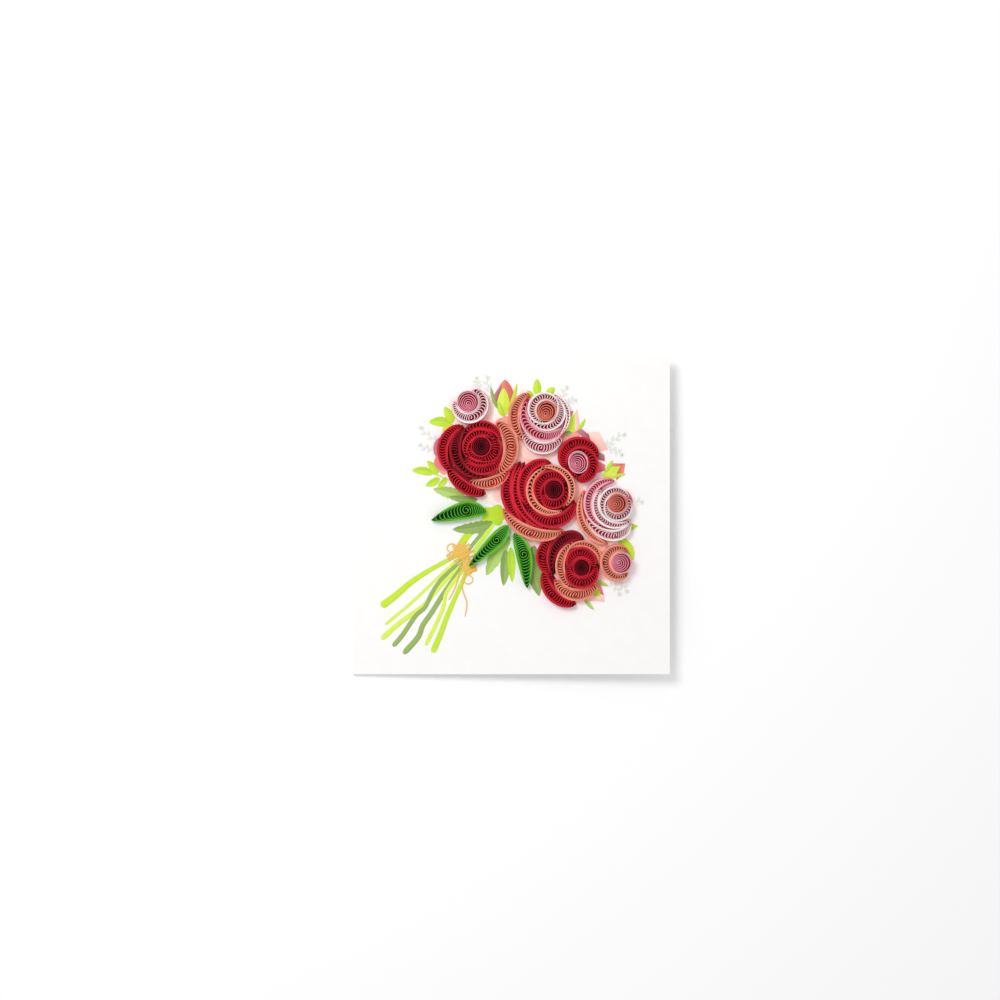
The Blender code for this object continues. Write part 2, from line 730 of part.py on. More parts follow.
def main():
    for existing in list(bpy.data.objects):
        bpy.data.objects.remove(existing)
    parts = new_collection("quilled_card")
    prints = new_collection("print")
    fold_axis = (FOLD_RADIUS - CARD_SIDE / 2, 0, FOLD_RADIUS)
    panel = empty("front_panel", parts, location=fold_axis, tilt=-SPRING_OPEN)
    bpy.context.view_layer.update()
    print_front(panel, prints)
    folded_card(parts, prints)
    for name, rose in ROSES.items():
        quilled_rose(name, rose, panel, parts)
    for name, leaf in QUILLED_LEAVES.items():
        quilled_leaf(name, leaf, panel, parts)


main()
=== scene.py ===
"""The looks of a quilled greeting card: its paper strips, printed bouquet, card stock and stage."""

import math
from typing import NamedTuple

import bpy
import numpy as np
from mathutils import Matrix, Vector


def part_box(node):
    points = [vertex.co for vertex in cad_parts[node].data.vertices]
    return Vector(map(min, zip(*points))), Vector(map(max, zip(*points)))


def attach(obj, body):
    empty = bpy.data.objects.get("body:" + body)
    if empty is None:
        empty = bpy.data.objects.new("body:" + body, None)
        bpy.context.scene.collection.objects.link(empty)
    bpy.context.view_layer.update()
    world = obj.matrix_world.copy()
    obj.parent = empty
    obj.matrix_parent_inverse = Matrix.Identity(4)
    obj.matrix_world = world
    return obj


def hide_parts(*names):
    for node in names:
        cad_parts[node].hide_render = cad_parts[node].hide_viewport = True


bl_info = {
    "name": "Quilled greeting card",
    "version": (1, 0, 0),
    "blender": (4, 5, 0),
    "location": "View3D > Sidebar > Quilled card",
    "description": "Builds a folded card with a bouquet of quilled paper roses over printed stems",
    "category": "Add Mesh",
}

MM = 0.001

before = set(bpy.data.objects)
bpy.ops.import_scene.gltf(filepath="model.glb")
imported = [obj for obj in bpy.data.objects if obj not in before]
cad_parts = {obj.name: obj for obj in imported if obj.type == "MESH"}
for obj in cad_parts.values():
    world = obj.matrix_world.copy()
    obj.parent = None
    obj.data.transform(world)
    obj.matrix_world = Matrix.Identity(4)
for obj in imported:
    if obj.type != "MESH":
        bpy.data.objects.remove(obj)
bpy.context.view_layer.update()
CARD_LOW, CARD_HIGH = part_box("card")
CARD_SIDE = CARD_HIGH.y - CARD_LOW.y


# The drawing of the bouquet, in millimetres from the middle of the card, and degrees anticlockwise


class Petal(NamedTuple):
    """A crescent about the middle of its rose.

    It runs from one bearing to another, with a radius at each pinched tip, and lies between its hollow
    side and its crown. The peak is the share along it, from -1 to 1, where it is widest, and the eye is
    about the share where its turns close. A lower sharpness makes its ends blunter.
    """

    paper: str
    start: float
    end: float
    start_radius: float
    end_radius: float
    hollow: float
    crown: float
    peak: float = 0.0
    sharpness: float = 0.7
    eye: float = 0.0


class Rose(NamedTuple):
    """A coil with its petals.

    The bed is the radius of the dark disc of painted shade under it, and the eye is how far off the
    coil's middle its turns close.
    """

    bed: float
    middle: tuple
    coil_paper: str
    coil_radii: tuple
    coil_turned: float
    eye: tuple
    petals: tuple


class Leaf(NamedTuple):
    """A leaf from tip to base, bowed to the left of that line."""

    tip: tuple
    base: tuple
    bow: float
    half_width: float
    peak: float = 0.15
    sharpness: float = 0.7


ROSES = {
    "left_rose": Rose(9.8, (-14.4, 33.1), "maroon_coil", (4.5, 4.7), 0, (0.4, 0.3), (
        Petal("red", 30, 206, 7.2, 8.6, 5.1, 8.4, 0.1),
        Petal("red", -70, 26, 6.2, 6.6, 4.9, 9.6),
        Petal("red", 192, 280, 6.4, 5.9, 5.0, 6.9),
        Petal("red", 214, 302, 8.7, 9.0, 7.3, 9.0),
        Petal("red", 22, 138, 10.2, 10.3, 8.7, 12.1, eye=-0.25),
        Petal("red", 220, 334, 10.4, 10.8, 9.5, 13.5, 0.1, 0.8),
        Petal("coral", -54, 53, 15.0, 13.6, 11.0, 17.8),
        Petal("coral", 257, 316, 17.6, 17.7, 15.7, 20.6),
        Petal("maroon", 138, 282, 11.6, 15.1, 10.2, 15.2, -0.25, 0.9),
        Petal("red", 135, 214, 13.2, 18.8, 15.7, 20.3, 0.0, 0.6),
        Petal("red", 215, 272, 18.6, 22.8, 18.3, 23.6, 0.1),
    )),
    "middle_rose": Rose(9.4, (20.5, 12.5), "maroon_coil", (4.5, 4.7), 0, (-0.4, 0.2), (
        Petal("red", 36, 220, 6.0, 8.2, 5.0, 9.6),
        Petal("red", 212, 366, 5.8, 5.8, 5.0, 9.1, -0.25, 0.8),
        Petal("coral", 106, 286, 10.6, 10.8, 10.0, 13.3, 0.1, eye=0.2),
        Petal("coral", -53, 115, 9.9, 12.4, 7.5, 10.3, eye=0.1),
        Petal("red", 101, 214, 12.9, 14.2, 13.6, 17.6, -0.15),
        Petal("red", 141, 257, 19.4, 19.2, 16.9, 19.9, 0.0, 0.8),
        Petal("red", 143, 226, 20.9, 20.9, 20.5, 25.2, 0.05, 1.2),
        Petal("red", 219, 327, 14.8, 11.2, 12.4, 18.2),
        Petal("coral", 204, 281, 26.0, 20.6, 20.8, 26.5, 0.0, 0.8),
    )),
    "lower_rose": Rose(8.8, (33.7, -24.8), "maroon_coil", (4.0, 4.2), 0, (-0.3, -0.3), (
        Petal("red", 6, 182, 5.3, 5.2, 4.6, 9.7, 0.0, 0.9),
        Petal("red", 180, 362, 6.0, 6.4, 4.8, 10.1, 0.0, 0.9),
        Petal("coral", 110, 238, 12.9, 11.2, 8.4, 12.3),
        Petal("coral", 14, 120, 8.6, 10.6, 9.9, 12.5, 0.0, 0.8),
        Petal("coral", 211, 304, 14.1, 11.3, 10.9, 16.2),
        Petal("maroon", 90, 191, 13.8, 13.8, 13.3, 18.6, -0.35, 0.9),
        Petal("red", 138, 193, 19.4, 14.8, 16.9, 22.0),
        Petal("red", 188, 258, 17.6, 18.0, 16.5, 21.7),
    )),
    "top_rose": Rose(8.0, (16.8, 50.1), "coral_coil", (4.5, 4.6), 0, (-0.5, -1.6), (
        Petal("blush", 20, 248, 5.5, 5.6, 4.9, 9.0),
        Petal("blush", 200, 392, 8.4, 7.2, 5.2, 9.4, 0.25, 0.8),
        Petal("pink", 149, 311, 9.9, 11.6, 9.5, 14.6, 0.25, eye=0.1),
        Petal("blush", 227, 296, 15.2, 14.9, 15.2, 20.6),
        Petal("coral", 139, 233, 11.8, 17.6, 13.0, 17.7, -0.05),
        Petal("blush", -56, 60, 13.6, 8.4, 9.4, 10.9),
    )),
    "side_rose": Rose(7.6, (50.8, 5.9), "coral_coil", (4.4, 4.4), 0, (-1.2, -0.4), (
        Petal("blush", 28, 220, 5.6, 8.1, 4.8, 8.2),
        Petal("blush", 196, 374, 5.5, 5.5, 4.8, 8.5, -0.1),
        Petal("blush", 141, 302, 9.8, 10.4, 8.9, 12.3),
        Petal("pink", 101, 234, 10.7, 13.3, 11.9, 15.8),
        Petal("blush", 203, 300, 16.1, 11.4, 13.0, 17.9, 0.3, 0.8),
        Petal("coral", 162, 254, 16.9, 20.2, 17.9, 21.0, 0.2, 0.8),
    )),
    "pink_bud": Rose(5.2, (-20.6, 54.5), "pink_coil", (5.0, 4.9), 0, (0.0, -1.3), (
        Petal("blush", -172, 60, 6.4, 6.0, 5.4, 10.3, eye=-0.2),
    )),
    "red_bud": Rose(6.8, (32.1, 25.5), "pink_coil", (4.4, 5.1), 15, (-0.8, -0.8), (
        Petal("red", 22, 200, 9.8, 6.1, 6.4, 11.7),
        Petal("red", -84, 74, 8.2, 5.6, 5.4, 10.2, -0.3),
        Petal("red", 212, 268, 5.8, 8.4, 5.5, 6.9),
    )),
    "coral_bud": Rose(5.0, (52.7, -22.6), "pink_coil", (4.8, 4.9), 0, (-1.3, 0.0), (
        Petal("coral", 68, 292, 6.4, 6.3, 5.3, 9.9),
    )),
}

QUILLED_LEAVES = {
    "leaf_left": Leaf((-38.4, -2.3), (-11.8, 2.0), 2.1, 4.3, 0.3),
    "leaf_middle": Leaf((-20.4, -24.5), (-1.3, -4.7), -0.8, 3.6, 0.35),
    "leaf_right": Leaf((7.7, -35.0), (1.4, -8.4), -2.2, 3.8, 0.2),
}

# Paper: the colour of the bunched edges, lighter as painted light, of the edges that cross a petal, and
# of the strip's faces, deeper as painted shade
PAPERS_WITH_PAINTED_LIGHT = {
    "red": ("#DE253A", "#E62034", "#AE0E20"),
    "maroon": ("#A31727", "#9E1324", "#580812"),
    "coral": ("#FF9C84", "#FFA184", "#F88266"),
    "pink": ("#FFB8C4", "#FF9AAC", "#F46278"),
    "blush": ("#FFF2F2", "#FFCDD2", "#F6768A"),
    "leaf_green": ("#6CC42C", "#50B034", "#2C7C20"),
    "maroon_coil": ("#D8273C", "#A21022", "#38040A"),
    "pink_coil": ("#FFC2CC", "#FF9CAE", "#F66A86"),
    "coral_coil": ("#FC9480", "#FF8874", "#E45E4E"),
}

# Painted shade under each quilled petal, coil and leaf: a dark sheet that stands for the deep shade
# between its turns
PAINTED_SHADE_BEDS = {
    "red": "#940E20",
    "maroon": "#4A0610",
    "coral": "#E87258",
    "pink": "#E65A70",
    "blush": "#EE6C82",
    "leaf_green": "#1C6616",
    "maroon_coil": "#30030A",
    "pink_coil": "#E65E78",
    "coral_coil": "#C85040",
}

# Ink: its colour and the deeper tone that it runs to
INKS = {
    "lime": ("#C9EA3A", "#A9D41F"),
    "pale_lime": ("#DDF35C", "#C6E83C"),
    "olive": ("#9CB765", "#7C9A48"),
    "sage": ("#B9D873", "#97BC52"),
    "ochre": ("#F5C860", "#DFA345"),
    "peach": ("#FCE0D4", "#F8C8B6"),
    "cream": ("#FDF6EE", "#FAE2D4"),
    "rose_pink": ("#F6B4AE", "#EC948E"),
    "rose_red": ("#EE8A8C", "#DC6E78"),
    "mauve": ("#C88490", "#A8626E"),
    "bud_coral": ("#F2907C", "#DB6A5E"),
    "sprig_grey": ("#EDF0EA", "#D9DED4"),
}

# Sizes and colours that a user would change


def linear(hex_colour):
    """The linear RGB of an sRGB hex colour."""
    channels = [int(hex_colour[i : i + 2], 16) / 255 for i in (1, 3, 5)]
    return [c / 12.92 if c <= 0.04045 else ((c + 0.055) / 1.055) ** 2.4 for c in channels]


def length(name, description, default):
    """A setting in metres."""
    return bpy.props.FloatProperty(
        name=name, description=description, default=default, unit="LENGTH", precision=5
    )


def number(name, description, default, **kind):
    """A setting that is a plain number, or a share."""
    return bpy.props.FloatProperty(name=name, description=description, default=default, **kind)


class CardSettings(bpy.types.PropertyGroup):
    """The folded sheet."""

    side: length("Side", "Width and height of the closed card", CARD_SIDE)
    stock: length("Stock", "Thickness of the card", 0.35 * MM)
    fold_radius: length("Fold radius", "Outer radius of the fold", 0.9 * MM)
    spring: number("Spring", "How far the front panel stands open", math.radians(2.5), unit="ROTATION")
    white: bpy.props.FloatVectorProperty(
        name="White",
        description="Colour of the bare card",
        default=linear("#FCFBFA"),
        subtype="COLOR",
        min=0,
        max=1,
    )


class QuillSettings(bpy.types.PropertyGroup):
    """The paper strips, and how they wind into petals, leaves and coils."""

    paper: length("Paper", "Thickness of a quilling strip", 0.1 * MM)
    crossing_paper: length("Crossing paper", "Thickness where a strip crosses a petal", 0.4 * MM)
    swell: length("Swell", "How far a petal presses against its neighbours", 0.4 * MM)
    seat: length("Seat", "Height of the strips' lower edge above the card", 0.3 * MM)
    outer_height: length("Outer petal", "Width of the strips in the outer petals", 2.95 * MM)
    inner_height: length("Inner petal", "Width of the strips in the inner petals", 3.95 * MM)
    coil_height: length("Coil", "Width of the strips in the coils", 4.95 * MM)
    inner_reach: length("Inner reach", "Furthest crown of an inner petal", 10.6 * MM)
    bunch_pitch: length("Bunching", "Widest spacing of the turns along a petal's sides", 0.125 * MM)
    arc_spacing: length("Arc spacing", "Spacing of the turns where they cross a petal", 1.3 * MM)
    tip_drop: length("Tip drop", "How far a petal's ends pass under those beside it", 0.8 * MM)
    lean: length("Lean", "How far a crossing strip's top leans from the eye", 0.3 * MM)
    recess: length("Recess", "How far a crossing strip sits below the sides", 0.15 * MM)
    coil_rim: length("Coil rim", "Breadth of the tight turns round a rose's coil", 0.5 * MM)
    coil_pitch: length("Coil pitch", "Spacing of the loose turns in a rose's coil", 0.85 * MM)
    coil_paper: length("Coil paper", "Thickness of the loose turns of a coil", 0.38 * MM)
    coil_dish: length("Coil dish", "How far a coil's eye sits below its rim", 1.3 * MM)
    turn_points: bpy.props.IntProperty(
        name="Points in a turn", description="Stations along each turn of a strip", default=64
    )


class PrintSettings(bpy.types.PropertyGroup):
    """How the fields of ink are stacked, a hair apart, so that each one shows over those before it."""

    lift: length("Lift", "Height of the lowest field of ink above the card", 0.02 * MM)
    step: length("Step", "How much higher each later field lies", 0.0025 * MM)


class StageSettings(bpy.types.PropertyGroup):
    """The view and the light."""

    lens: number("Lens", "Focal length in millimetres", 85, unit="CAMERA")
    framed: length("Framed width", "Width of the view at the card's front", 0.48)
    off_right: length("Off right", "How far right of the view's middle the card lies", 5.3 * MM)
    off_down: length("Off down", "How far below the view's middle the card lies", 7.4 * MM)
    world: number("Surround", "Strength of the white surround", 0.68)
    lamp: number("Lamp", "Share of white that the lamp adds on a sheet square to it", 0.45)


class QuilledCard(bpy.types.PropertyGroup):
    """All the settings of the card and its stage."""

    card: bpy.props.PointerProperty(type=CardSettings)
    quill: bpy.props.PointerProperty(type=QuillSettings)
    ink: bpy.props.PointerProperty(type=PrintSettings)
    stage: bpy.props.PointerProperty(type=StageSettings)


# Surfaces


def grid_faces(rows, columns, first=0):
    """The quads between neighbouring rows and columns of a grid of points, facing up for x by y."""
    low = first + np.arange(rows - 1)[:, None] * columns + np.arange(columns - 1)[None, :]
    return np.stack([low, low + columns, low + columns + 1, low + 1], -1).reshape(-1, 4)


def new_piece(name, points, faces, material, uv=None, attributes=None):
    """A mesh object of quads, with one UV pair and any named number for each point."""
    mesh = bpy.data.meshes.new(name)
    mesh.vertices.add(len(points))
    mesh.vertices.foreach_set("co", np.ascontiguousarray(points, np.float32).ravel())
    mesh.loops.add(faces.size)
    mesh.loops.foreach_set("vertex_index", np.ascontiguousarray(faces, np.int32).ravel())
    mesh.polygons.add(len(faces))
    mesh.polygons.foreach_set("loop_start", np.arange(0, faces.size, 4, dtype=np.int32))
    if uv is not None:
        layer = mesh.uv_layers.new(name="UVMap")
        layer.uv.foreach_set("vector", np.ascontiguousarray(uv[faces.ravel()], np.float32).ravel())
    for key, values in (attributes or {}).items():
        stored = mesh.attributes.new(key, "FLOAT", "POINT")
        stored.data.foreach_set("value", np.ascontiguousarray(values, np.float32).ravel())
    mesh.update(calc_edges=True)
    mesh.shade_flat()
    mesh.materials.append(material)
    piece = bpy.data.objects.new(name, mesh)
    bpy.context.scene.collection.objects.link(piece)
    return piece


def on_card(context, across, up, height):
    """Places of the drawing, in metres from the card's middle, at a height above the front panel.

    The panel turns about the fold's axis by the angle that the card springs open.
    """
    card = context.scene.quilled_card.card
    reach = across + card.side / 2 - card.fold_radius
    raised = height + card.fold_radius
    cos, sin = math.cos(card.spring), math.sin(card.spring)
    x = card.fold_radius - card.side / 2 + reach * cos - raised * sin
    z = card.fold_radius + reach * sin + raised * cos
    return np.stack(np.broadcast_arrays(x, up, z), -1)


def turning(degrees):
    """The matrix of cosines and sines that turns rows of places anticlockwise by an angle."""
    cos, sin = math.cos(math.radians(degrees)), math.sin(math.radians(degrees))
    return np.array([[cos, sin], [-sin, cos]])


# A petal's ends are this much blunter than its sharpness says, and they are tucked this far, in
# millimetres, under the petals beside them
BLUNTNESS = 0.85
TUCK = 1.5


class CrescentShape:
    """Points of a petal at a share along it and a distance from its spine, by polar formulas."""

    def __init__(self, middle, petal, swell):
        """Half the breadth from hollow side to crown, and half the arc between the tucked ends."""
        self.middle = np.array(middle) * MM
        self.petal = petal
        self.half = (petal.crown - petal.hollow) * MM / 2 + swell
        tucked = math.degrees(TUCK * 2 / (petal.crown + petal.hollow))
        self.start, self.end = petal.start - tucked, petal.end + tucked
        sweep = math.radians(self.end - self.start)
        self.half_length = sweep * (petal.crown + petal.hollow) / 2 * MM / 2
        self.eye = petal.eye

    def tip_line(self, along):
        """The straight change of radius from one tip to the other."""
        start, end = self.petal.start_radius * MM, self.petal.end_radius * MM
        return start + (end - start) * (along + 1) / 2

    def half_width(self, warped):
        """One less the share squared, to a power. One half gives an oval, and more gives sharper ends."""
        blunt = BLUNTNESS * self.petal.sharpness
        return self.half * np.clip(1 - warped**2, 0, 1) ** blunt

    def place(self, warped, away):
        """The radius is the line between the tips, plus a parabola up to the spine, plus away."""
        petal = self.petal
        along = (warped + petal.peak) / (1 + petal.peak * warped)
        bearing = np.radians(self.start + (self.end - self.start) * (along + 1) / 2)
        rise = (petal.crown + petal.hollow) * MM / 2 - self.tip_line(petal.peak)
        radius = self.tip_line(along) + rise * (1 - warped**2) + away
        return self.middle + np.stack([np.cos(bearing), np.sin(bearing)], -1) * radius[..., None]


class LeafShape:
    """Points of a leaf at a share along it and a distance from its midrib."""

    def __init__(self, leaf):
        """The line from tip to base, its half length and the direction of the bow."""
        self.leaf = leaf
        self.tip = np.array(leaf.tip) * MM
        self.chord = (np.array(leaf.base) - np.array(leaf.tip)) * MM
        self.half = leaf.half_width * MM
        self.half_length = np.linalg.norm(self.chord) / 2
        self.side = np.array([-self.chord[1], self.chord[0]]) / (2 * self.half_length)
        self.eye = 0.0

    def half_width(self, warped):
        """One less the share squared, to the power of the sharpness."""
        return self.half * np.clip(1 - warped**2, 0, 1) ** self.leaf.sharpness

    def place(self, warped, away):
        """The straight line from tip to base, plus a parabola of the bow, plus away."""
        along = (warped + self.leaf.peak) / (1 + self.leaf.peak * warped)
        rise = self.leaf.bow * MM * (1 - warped**2) + away
        return self.tip + self.chord * ((along + 1) / 2)[..., None] + self.side * rise[..., None]


def soft_least(first, second):
    """A smooth lesser of two lengths: the fourth powers of their inverses added."""
    return (first**-4.0 + second**-4.0) ** -0.25


class Route(NamedTuple):
    """The way of a strip through a petal or coil.

    Each place of its line has a share of crossing the petal, a painted brightness of the edge, which
    paints its light and shade, and a fall of the strip's top. The paper is the thickness where turns lie
    together.
    """

    line: np.ndarray
    crossing: np.ndarray
    bright: np.ndarray
    fall: np.ndarray
    paper: float


# The painted brightness of an edge that crosses a petal, as painted shade for the gap it stands over.
# It is 1 at a rim, as painted light, and 0 deep in a dark coil, as painted shade.
FAR_EDGE = 0.25

# A petal's turns: the fewest and most, the share of a turn left out at the eye, and how many turns the
# strip takes to ease away from the outline, and again to close on the eye
FEWEST_TURNS, MOST_TURNS = 4, 13
LEFT_OUT = 0.15
EASING_TURNS = 1.5

# The power of the rounded square that a turn follows at the rim, and how much it loses by the eye
RIM_POWER, POWER_LOSS = 4.2, 2.1

# The share of a petal's length that the first turn takes, and of its half width that the bunched turns
# take at most, then how uneven their pitch is and how much of it the paper fills
FIRST_REACH = 0.985
WIDEST_BUNCH = 0.42
UNEVEN_PITCH = 0.2
BUNCH_FILL = 0.95

# Near the eye a turn is at most this many times as wide as it is long, plus so many millimetres, and no
# turn is narrower to a side than this
ROUND_TURN, ROUND_EXTRA = 1.1, 0.15
NARROWEST = 0.04

# The power by which a turn goes over from side to crossing, and how far the eye counts as crossing, and
# how much painted light its edges take there
CROSSING_POWER = 2.5
EYE_CROSSING, EYE_BRIGHT = 0.75, 0.7

# Where a petal's ends begin to sink, how far from there they are lowest, and the curve between
SINK_FROM, SINK_SPAN, SINK_POWER = 0.86, 0.14, 1.5


def pinched_route(shape, quill, seed):
    """The line of a strip wound from a petal's outline in to its eye.

    The polar angle of a rounded square gives each turn a share along the petal and a share across it.
    The reach along falls with each turn by the arc spacing, and the room across falls by the bunching
    pitch, so that the turns lie tight along both sides and cross the petal as nested arcs. Close to
    the eye a turn is hardly wider than it is long.
    """
    rng = np.random.default_rng(seed)
    turns = int(np.clip(round(shape.half_length / quill.arc_spacing), FEWEST_TURNS, MOST_TURNS))
    t = np.arange(int((turns - LEFT_OUT) * quill.turn_points)) / quill.turn_points
    angle = math.tau * t + math.pi
    cos, sin = np.cos(angle), np.sin(angle)
    power = RIM_POWER - POWER_LOSS * (t / turns) ** 2
    radius = (np.abs(cos) ** power + np.abs(sin) ** power) ** (-1 / power)
    reach = FIRST_REACH * (1 - t / turns)
    along = shape.eye + np.where(cos > 0, 1 - shape.eye, 1 + shape.eye) * reach * radius * cos
    across = radius * sin
    eased = np.clip(t / EASING_TURNS, 0, 1)
    side = np.sign(across) * np.abs(across) ** eased
    pitch = min(quill.bunch_pitch, WIDEST_BUNCH * shape.half / turns)
    knots = np.arange(turns * 3 + 2) / 3
    wobble = pitch * UNEVEN_PITCH * np.interp(t, knots, rng.normal(size=len(knots)))
    room = shape.half_width(along) - quill.paper / 2 - pitch * t + wobble * eased
    round_limit = reach * shape.half_length * ROUND_TURN + ROUND_EXTRA * MM
    width = soft_least(np.clip(room, NARROWEST * MM, None), round_limit)
    near_eye = np.clip((t - turns + EASING_TURNS) / EASING_TURNS, 0, 1)
    crossing = (1 - np.abs(across) ** CROSSING_POWER) * eased
    crossing = np.maximum(crossing, EYE_CROSSING * near_eye)
    fall = quill.tip_drop * np.clip((np.abs(along) - SINK_FROM) / SINK_SPAN, 0, 1) ** SINK_POWER
    # The bunched sides take painted light, the arcs that cross the petal painted shade, and the turns by
    # the eye painted light again
    bright = np.clip(np.maximum(1 - crossing, EYE_BRIGHT * near_eye), FAR_EDGE, 1)
    line = shape.place(along, side * width)
    return Route(line, crossing, bright, fall, max(quill.paper, BUNCH_FILL * pitch))


# The room left at a coil's eye and the unevenness of its turns, in millimetres
EYE_ROOM = 0.4
UNEVEN_COIL = 0.03

# A coil's first loose turn springs this share of a pitch further off the rim, at this rate for a turn,
# and is loose after this share of a turn
SPRING_OFF, SPRING_RATE = 0.18, 4
LOOSE_AFTER = 0.5

# A red rose's coil is dished this many times deeper, and its edges take painted shade that deepens to
# the eye. In the others that painted shade goes only this far towards the eye, and their last turn
# takes this much painted highlight. The dish deepens inwards by this power.
DEEP_DISH = 2.0
PALE_DISH_LIGHT, PALE_CURL_HIGHLIGHT = 0.75, 0.6
DISH_POWER = 1.3


def coil_route(rose, quill, seed):
    """The line of an off-centre coil: an oval rim that shrinks towards the eye.

    The first turns lie tight together as the rim, and the rest are a coil pitch apart. Each place is
    the middle, plus the eye's offset times how far in it is, plus the rim times how far out.
    """
    rng = np.random.default_rng(seed)
    radii = np.array(rose.coil_radii) * MM + quill.swell
    mean = radii.mean()
    rim_turns = quill.coil_rim / quill.bunch_pitch
    turns = rim_turns + (mean - quill.coil_rim - EYE_ROOM * MM) / quill.coil_pitch
    t = np.arange(0, turns, 1 / quill.turn_points)
    loose_turns = np.maximum(t - rim_turns, 0)
    sprung = loose_turns + SPRING_OFF * (1 - np.exp(-SPRING_RATE * loose_turns))
    knots = np.arange(int(turns * 2) + 3) / 2
    uneven = np.interp(t, knots, rng.normal(size=len(knots))) * (t > rim_turns)
    depth = quill.paper / 2 + quill.bunch_pitch * np.minimum(t, rim_turns)
    depth = depth + quill.coil_pitch * sprung + UNEVEN_COIL * MM * uneven
    out = 1 - depth / mean
    angle = math.tau * t
    rim = np.stack([np.cos(angle) * radii[0], np.sin(angle) * radii[1]], -1) @ turning(rose.coil_turned)
    offset = np.array(rose.eye) * MM * (1 - out)[:, None]
    line = np.array(rose.middle) * MM + offset + rim * out[:, None]
    # The tight rim takes painted light, the loose turns painted shade that deepens towards the eye of the
    # dish, and a pale coil's last turn a painted highlight
    loose = np.clip(loose_turns / LOOSE_AFTER, 0, 1)
    deep = rose.coil_paper == "maroon_coil"
    dish = quill.coil_dish * (DEEP_DISH if deep else 1.0)
    painted_dish_light = np.clip(out, 0.0 if deep else PALE_DISH_LIGHT, 1)
    painted_curl_highlight = 0.0 if deep else PALE_CURL_HIGHLIGHT * (t > turns - 1)
    bright = np.maximum(1 - loose + loose * FAR_EDGE * painted_dish_light, painted_curl_highlight)
    return Route(line, loose, bright, dish * (1 - out) ** DISH_POWER, quill.paper)


# How many stations of a strip lie between the random dips of its top, and their depth in millimetres
STATIONS_TO_A_DIP = 9
DIP = 0.05

# The power by which a strip thickens as it goes over to crossing the petal
THICKENING = 0.8


def standing_strip(context, route, top, seed, thick, lean):
    """A ribbon of paper on edge along a line: four corners at each station, joined in a closed tube.

    Half the paper's thickness lies to each side of the line, along its own normal. The top leans out
    along that normal and sinks where the strip crosses the petal. Real turns cross a petal or fill a
    coil a few tenths of a millimetre apart. They are drawn fewer and thicker, so that they still show
    one by one when the whole card is in view.
    """
    rng = np.random.default_rng(seed)
    quill = context.scene.quilled_card.quill
    line, crossing = route.line, route.crossing
    stations = len(line)
    along = np.gradient(line, axis=0)
    along /= np.maximum(np.linalg.norm(along, axis=1, keepdims=True), 1e-9)
    normal = np.stack([along[:, 1], -along[:, 0]], -1)
    half = ((route.paper + (thick - route.paper) * crossing**THICKENING) / 2)[:, None]
    knots = np.linspace(0, stations, stations // STATIONS_TO_A_DIP + 2)
    dips = np.interp(np.arange(stations), knots, rng.normal(size=len(knots)))
    high = top - route.fall - quill.recess * crossing * (lean > 0) - np.abs(dips) * DIP * MM
    low = quill.seat + np.zeros(stations)
    shift = normal * (lean * crossing)[:, None]
    corners = []
    for offset, leaned, level in ((-half, 0, low), (half, 0, low), (half, 1, high), (-half, 1, high)):
        flat = line + normal * offset + shift * leaned
        corners.append(on_card(context, flat[:, 0], flat[:, 1], level))
    points = np.stack(corners, 1).reshape(-1, 3)
    first = np.arange(stations - 1)[:, None] * 4
    ring = np.arange(4)[None, :]
    after = (ring + 1) % 4
    faces = np.stack([first + 4 + ring, first + 4 + after, first + after, first + ring], -1)
    last = 4 * stations - 1
    ends = np.array([[0, 1, 2, 3], [last, last - 1, last - 2, last - 3]])
    # Each point carries the painted brightness of its edge, for the paper's painted light and shade, and
    # how high on the strip it lies
    attributes = {"painted_edge_light": np.repeat(route.bright, 4), "rise": np.tile([0.0, 0.0, 1.0, 1.0], stations)}
    return points, np.concatenate([faces.reshape(-1, 4), ends]), attributes


def quilled_piece(context, node, paper, route, height, seed, thick, lean):
    """Stands a strip on its seat above the card, in place of its node of the CAD model."""
    top = context.scene.quilled_card.quill.seat + height
    points, faces, attributes = standing_strip(context, route, top, seed, thick, lean)
    piece = new_piece("quilled_" + node, points, faces, quilling_paper(paper), attributes=attributes)
    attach(piece, "root")
    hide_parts(node)


# Materials


def add_node(tree, kind, inputs=None, **settings):
    """Adds a node, sets its settings, and gives each input a value or a link from a socket."""
    made = tree.nodes.new(kind)
    for key, value in settings.items():
        setattr(made, key, value)
    for key, value in (inputs or {}).items():
        if isinstance(value, bpy.types.NodeSocket):
            tree.links.new(value, made.inputs[key])
        else:
            made.inputs[key].default_value = value
    return made


def rgba(hex_colour):
    """A hex colour as four linear channels, opaque."""
    return (*linear(hex_colour), 1.0)


def blended(tree, share, first, second):
    """The output of a colour mix: first at a share of 0 and second at 1."""
    mix = add_node(tree, "ShaderNodeMix", {0: share, 6: first, 7: second}, data_type="RGBA")
    return mix.outputs[2]


def ramp(tree, value, low, high, to_low=0.0, to_high=1.0):
    """A value taken from one range to another, held at its ends."""
    inputs = {"Value": value, "From Min": low, "From Max": high, "To Min": to_low, "To Max": to_high}
    return add_node(tree, "ShaderNodeMapRange", inputs).outputs["Result"]


def maths(tree, operation, first, second=0.0):
    """The output of one step of arithmetic."""
    return add_node(tree, "ShaderNodeMath", {0: first, 1: second}, operation=operation).outputs[0]


def distance_from(tree, value, middle):
    """How far a value is from a middle one, whichever side it is on."""
    return maths(tree, "ABSOLUTE", maths(tree, "SUBTRACT", value, middle))


def object_noise(tree, size, detail=3.0):
    """Noise whose patches are about this many metres across."""
    place = add_node(tree, "ShaderNodeTexCoord").outputs["Object"]
    noise = add_node(tree, "ShaderNodeTexNoise", {"Vector": place, "Scale": 1 / size, "Detail": detail})
    return noise.outputs["Fac"]


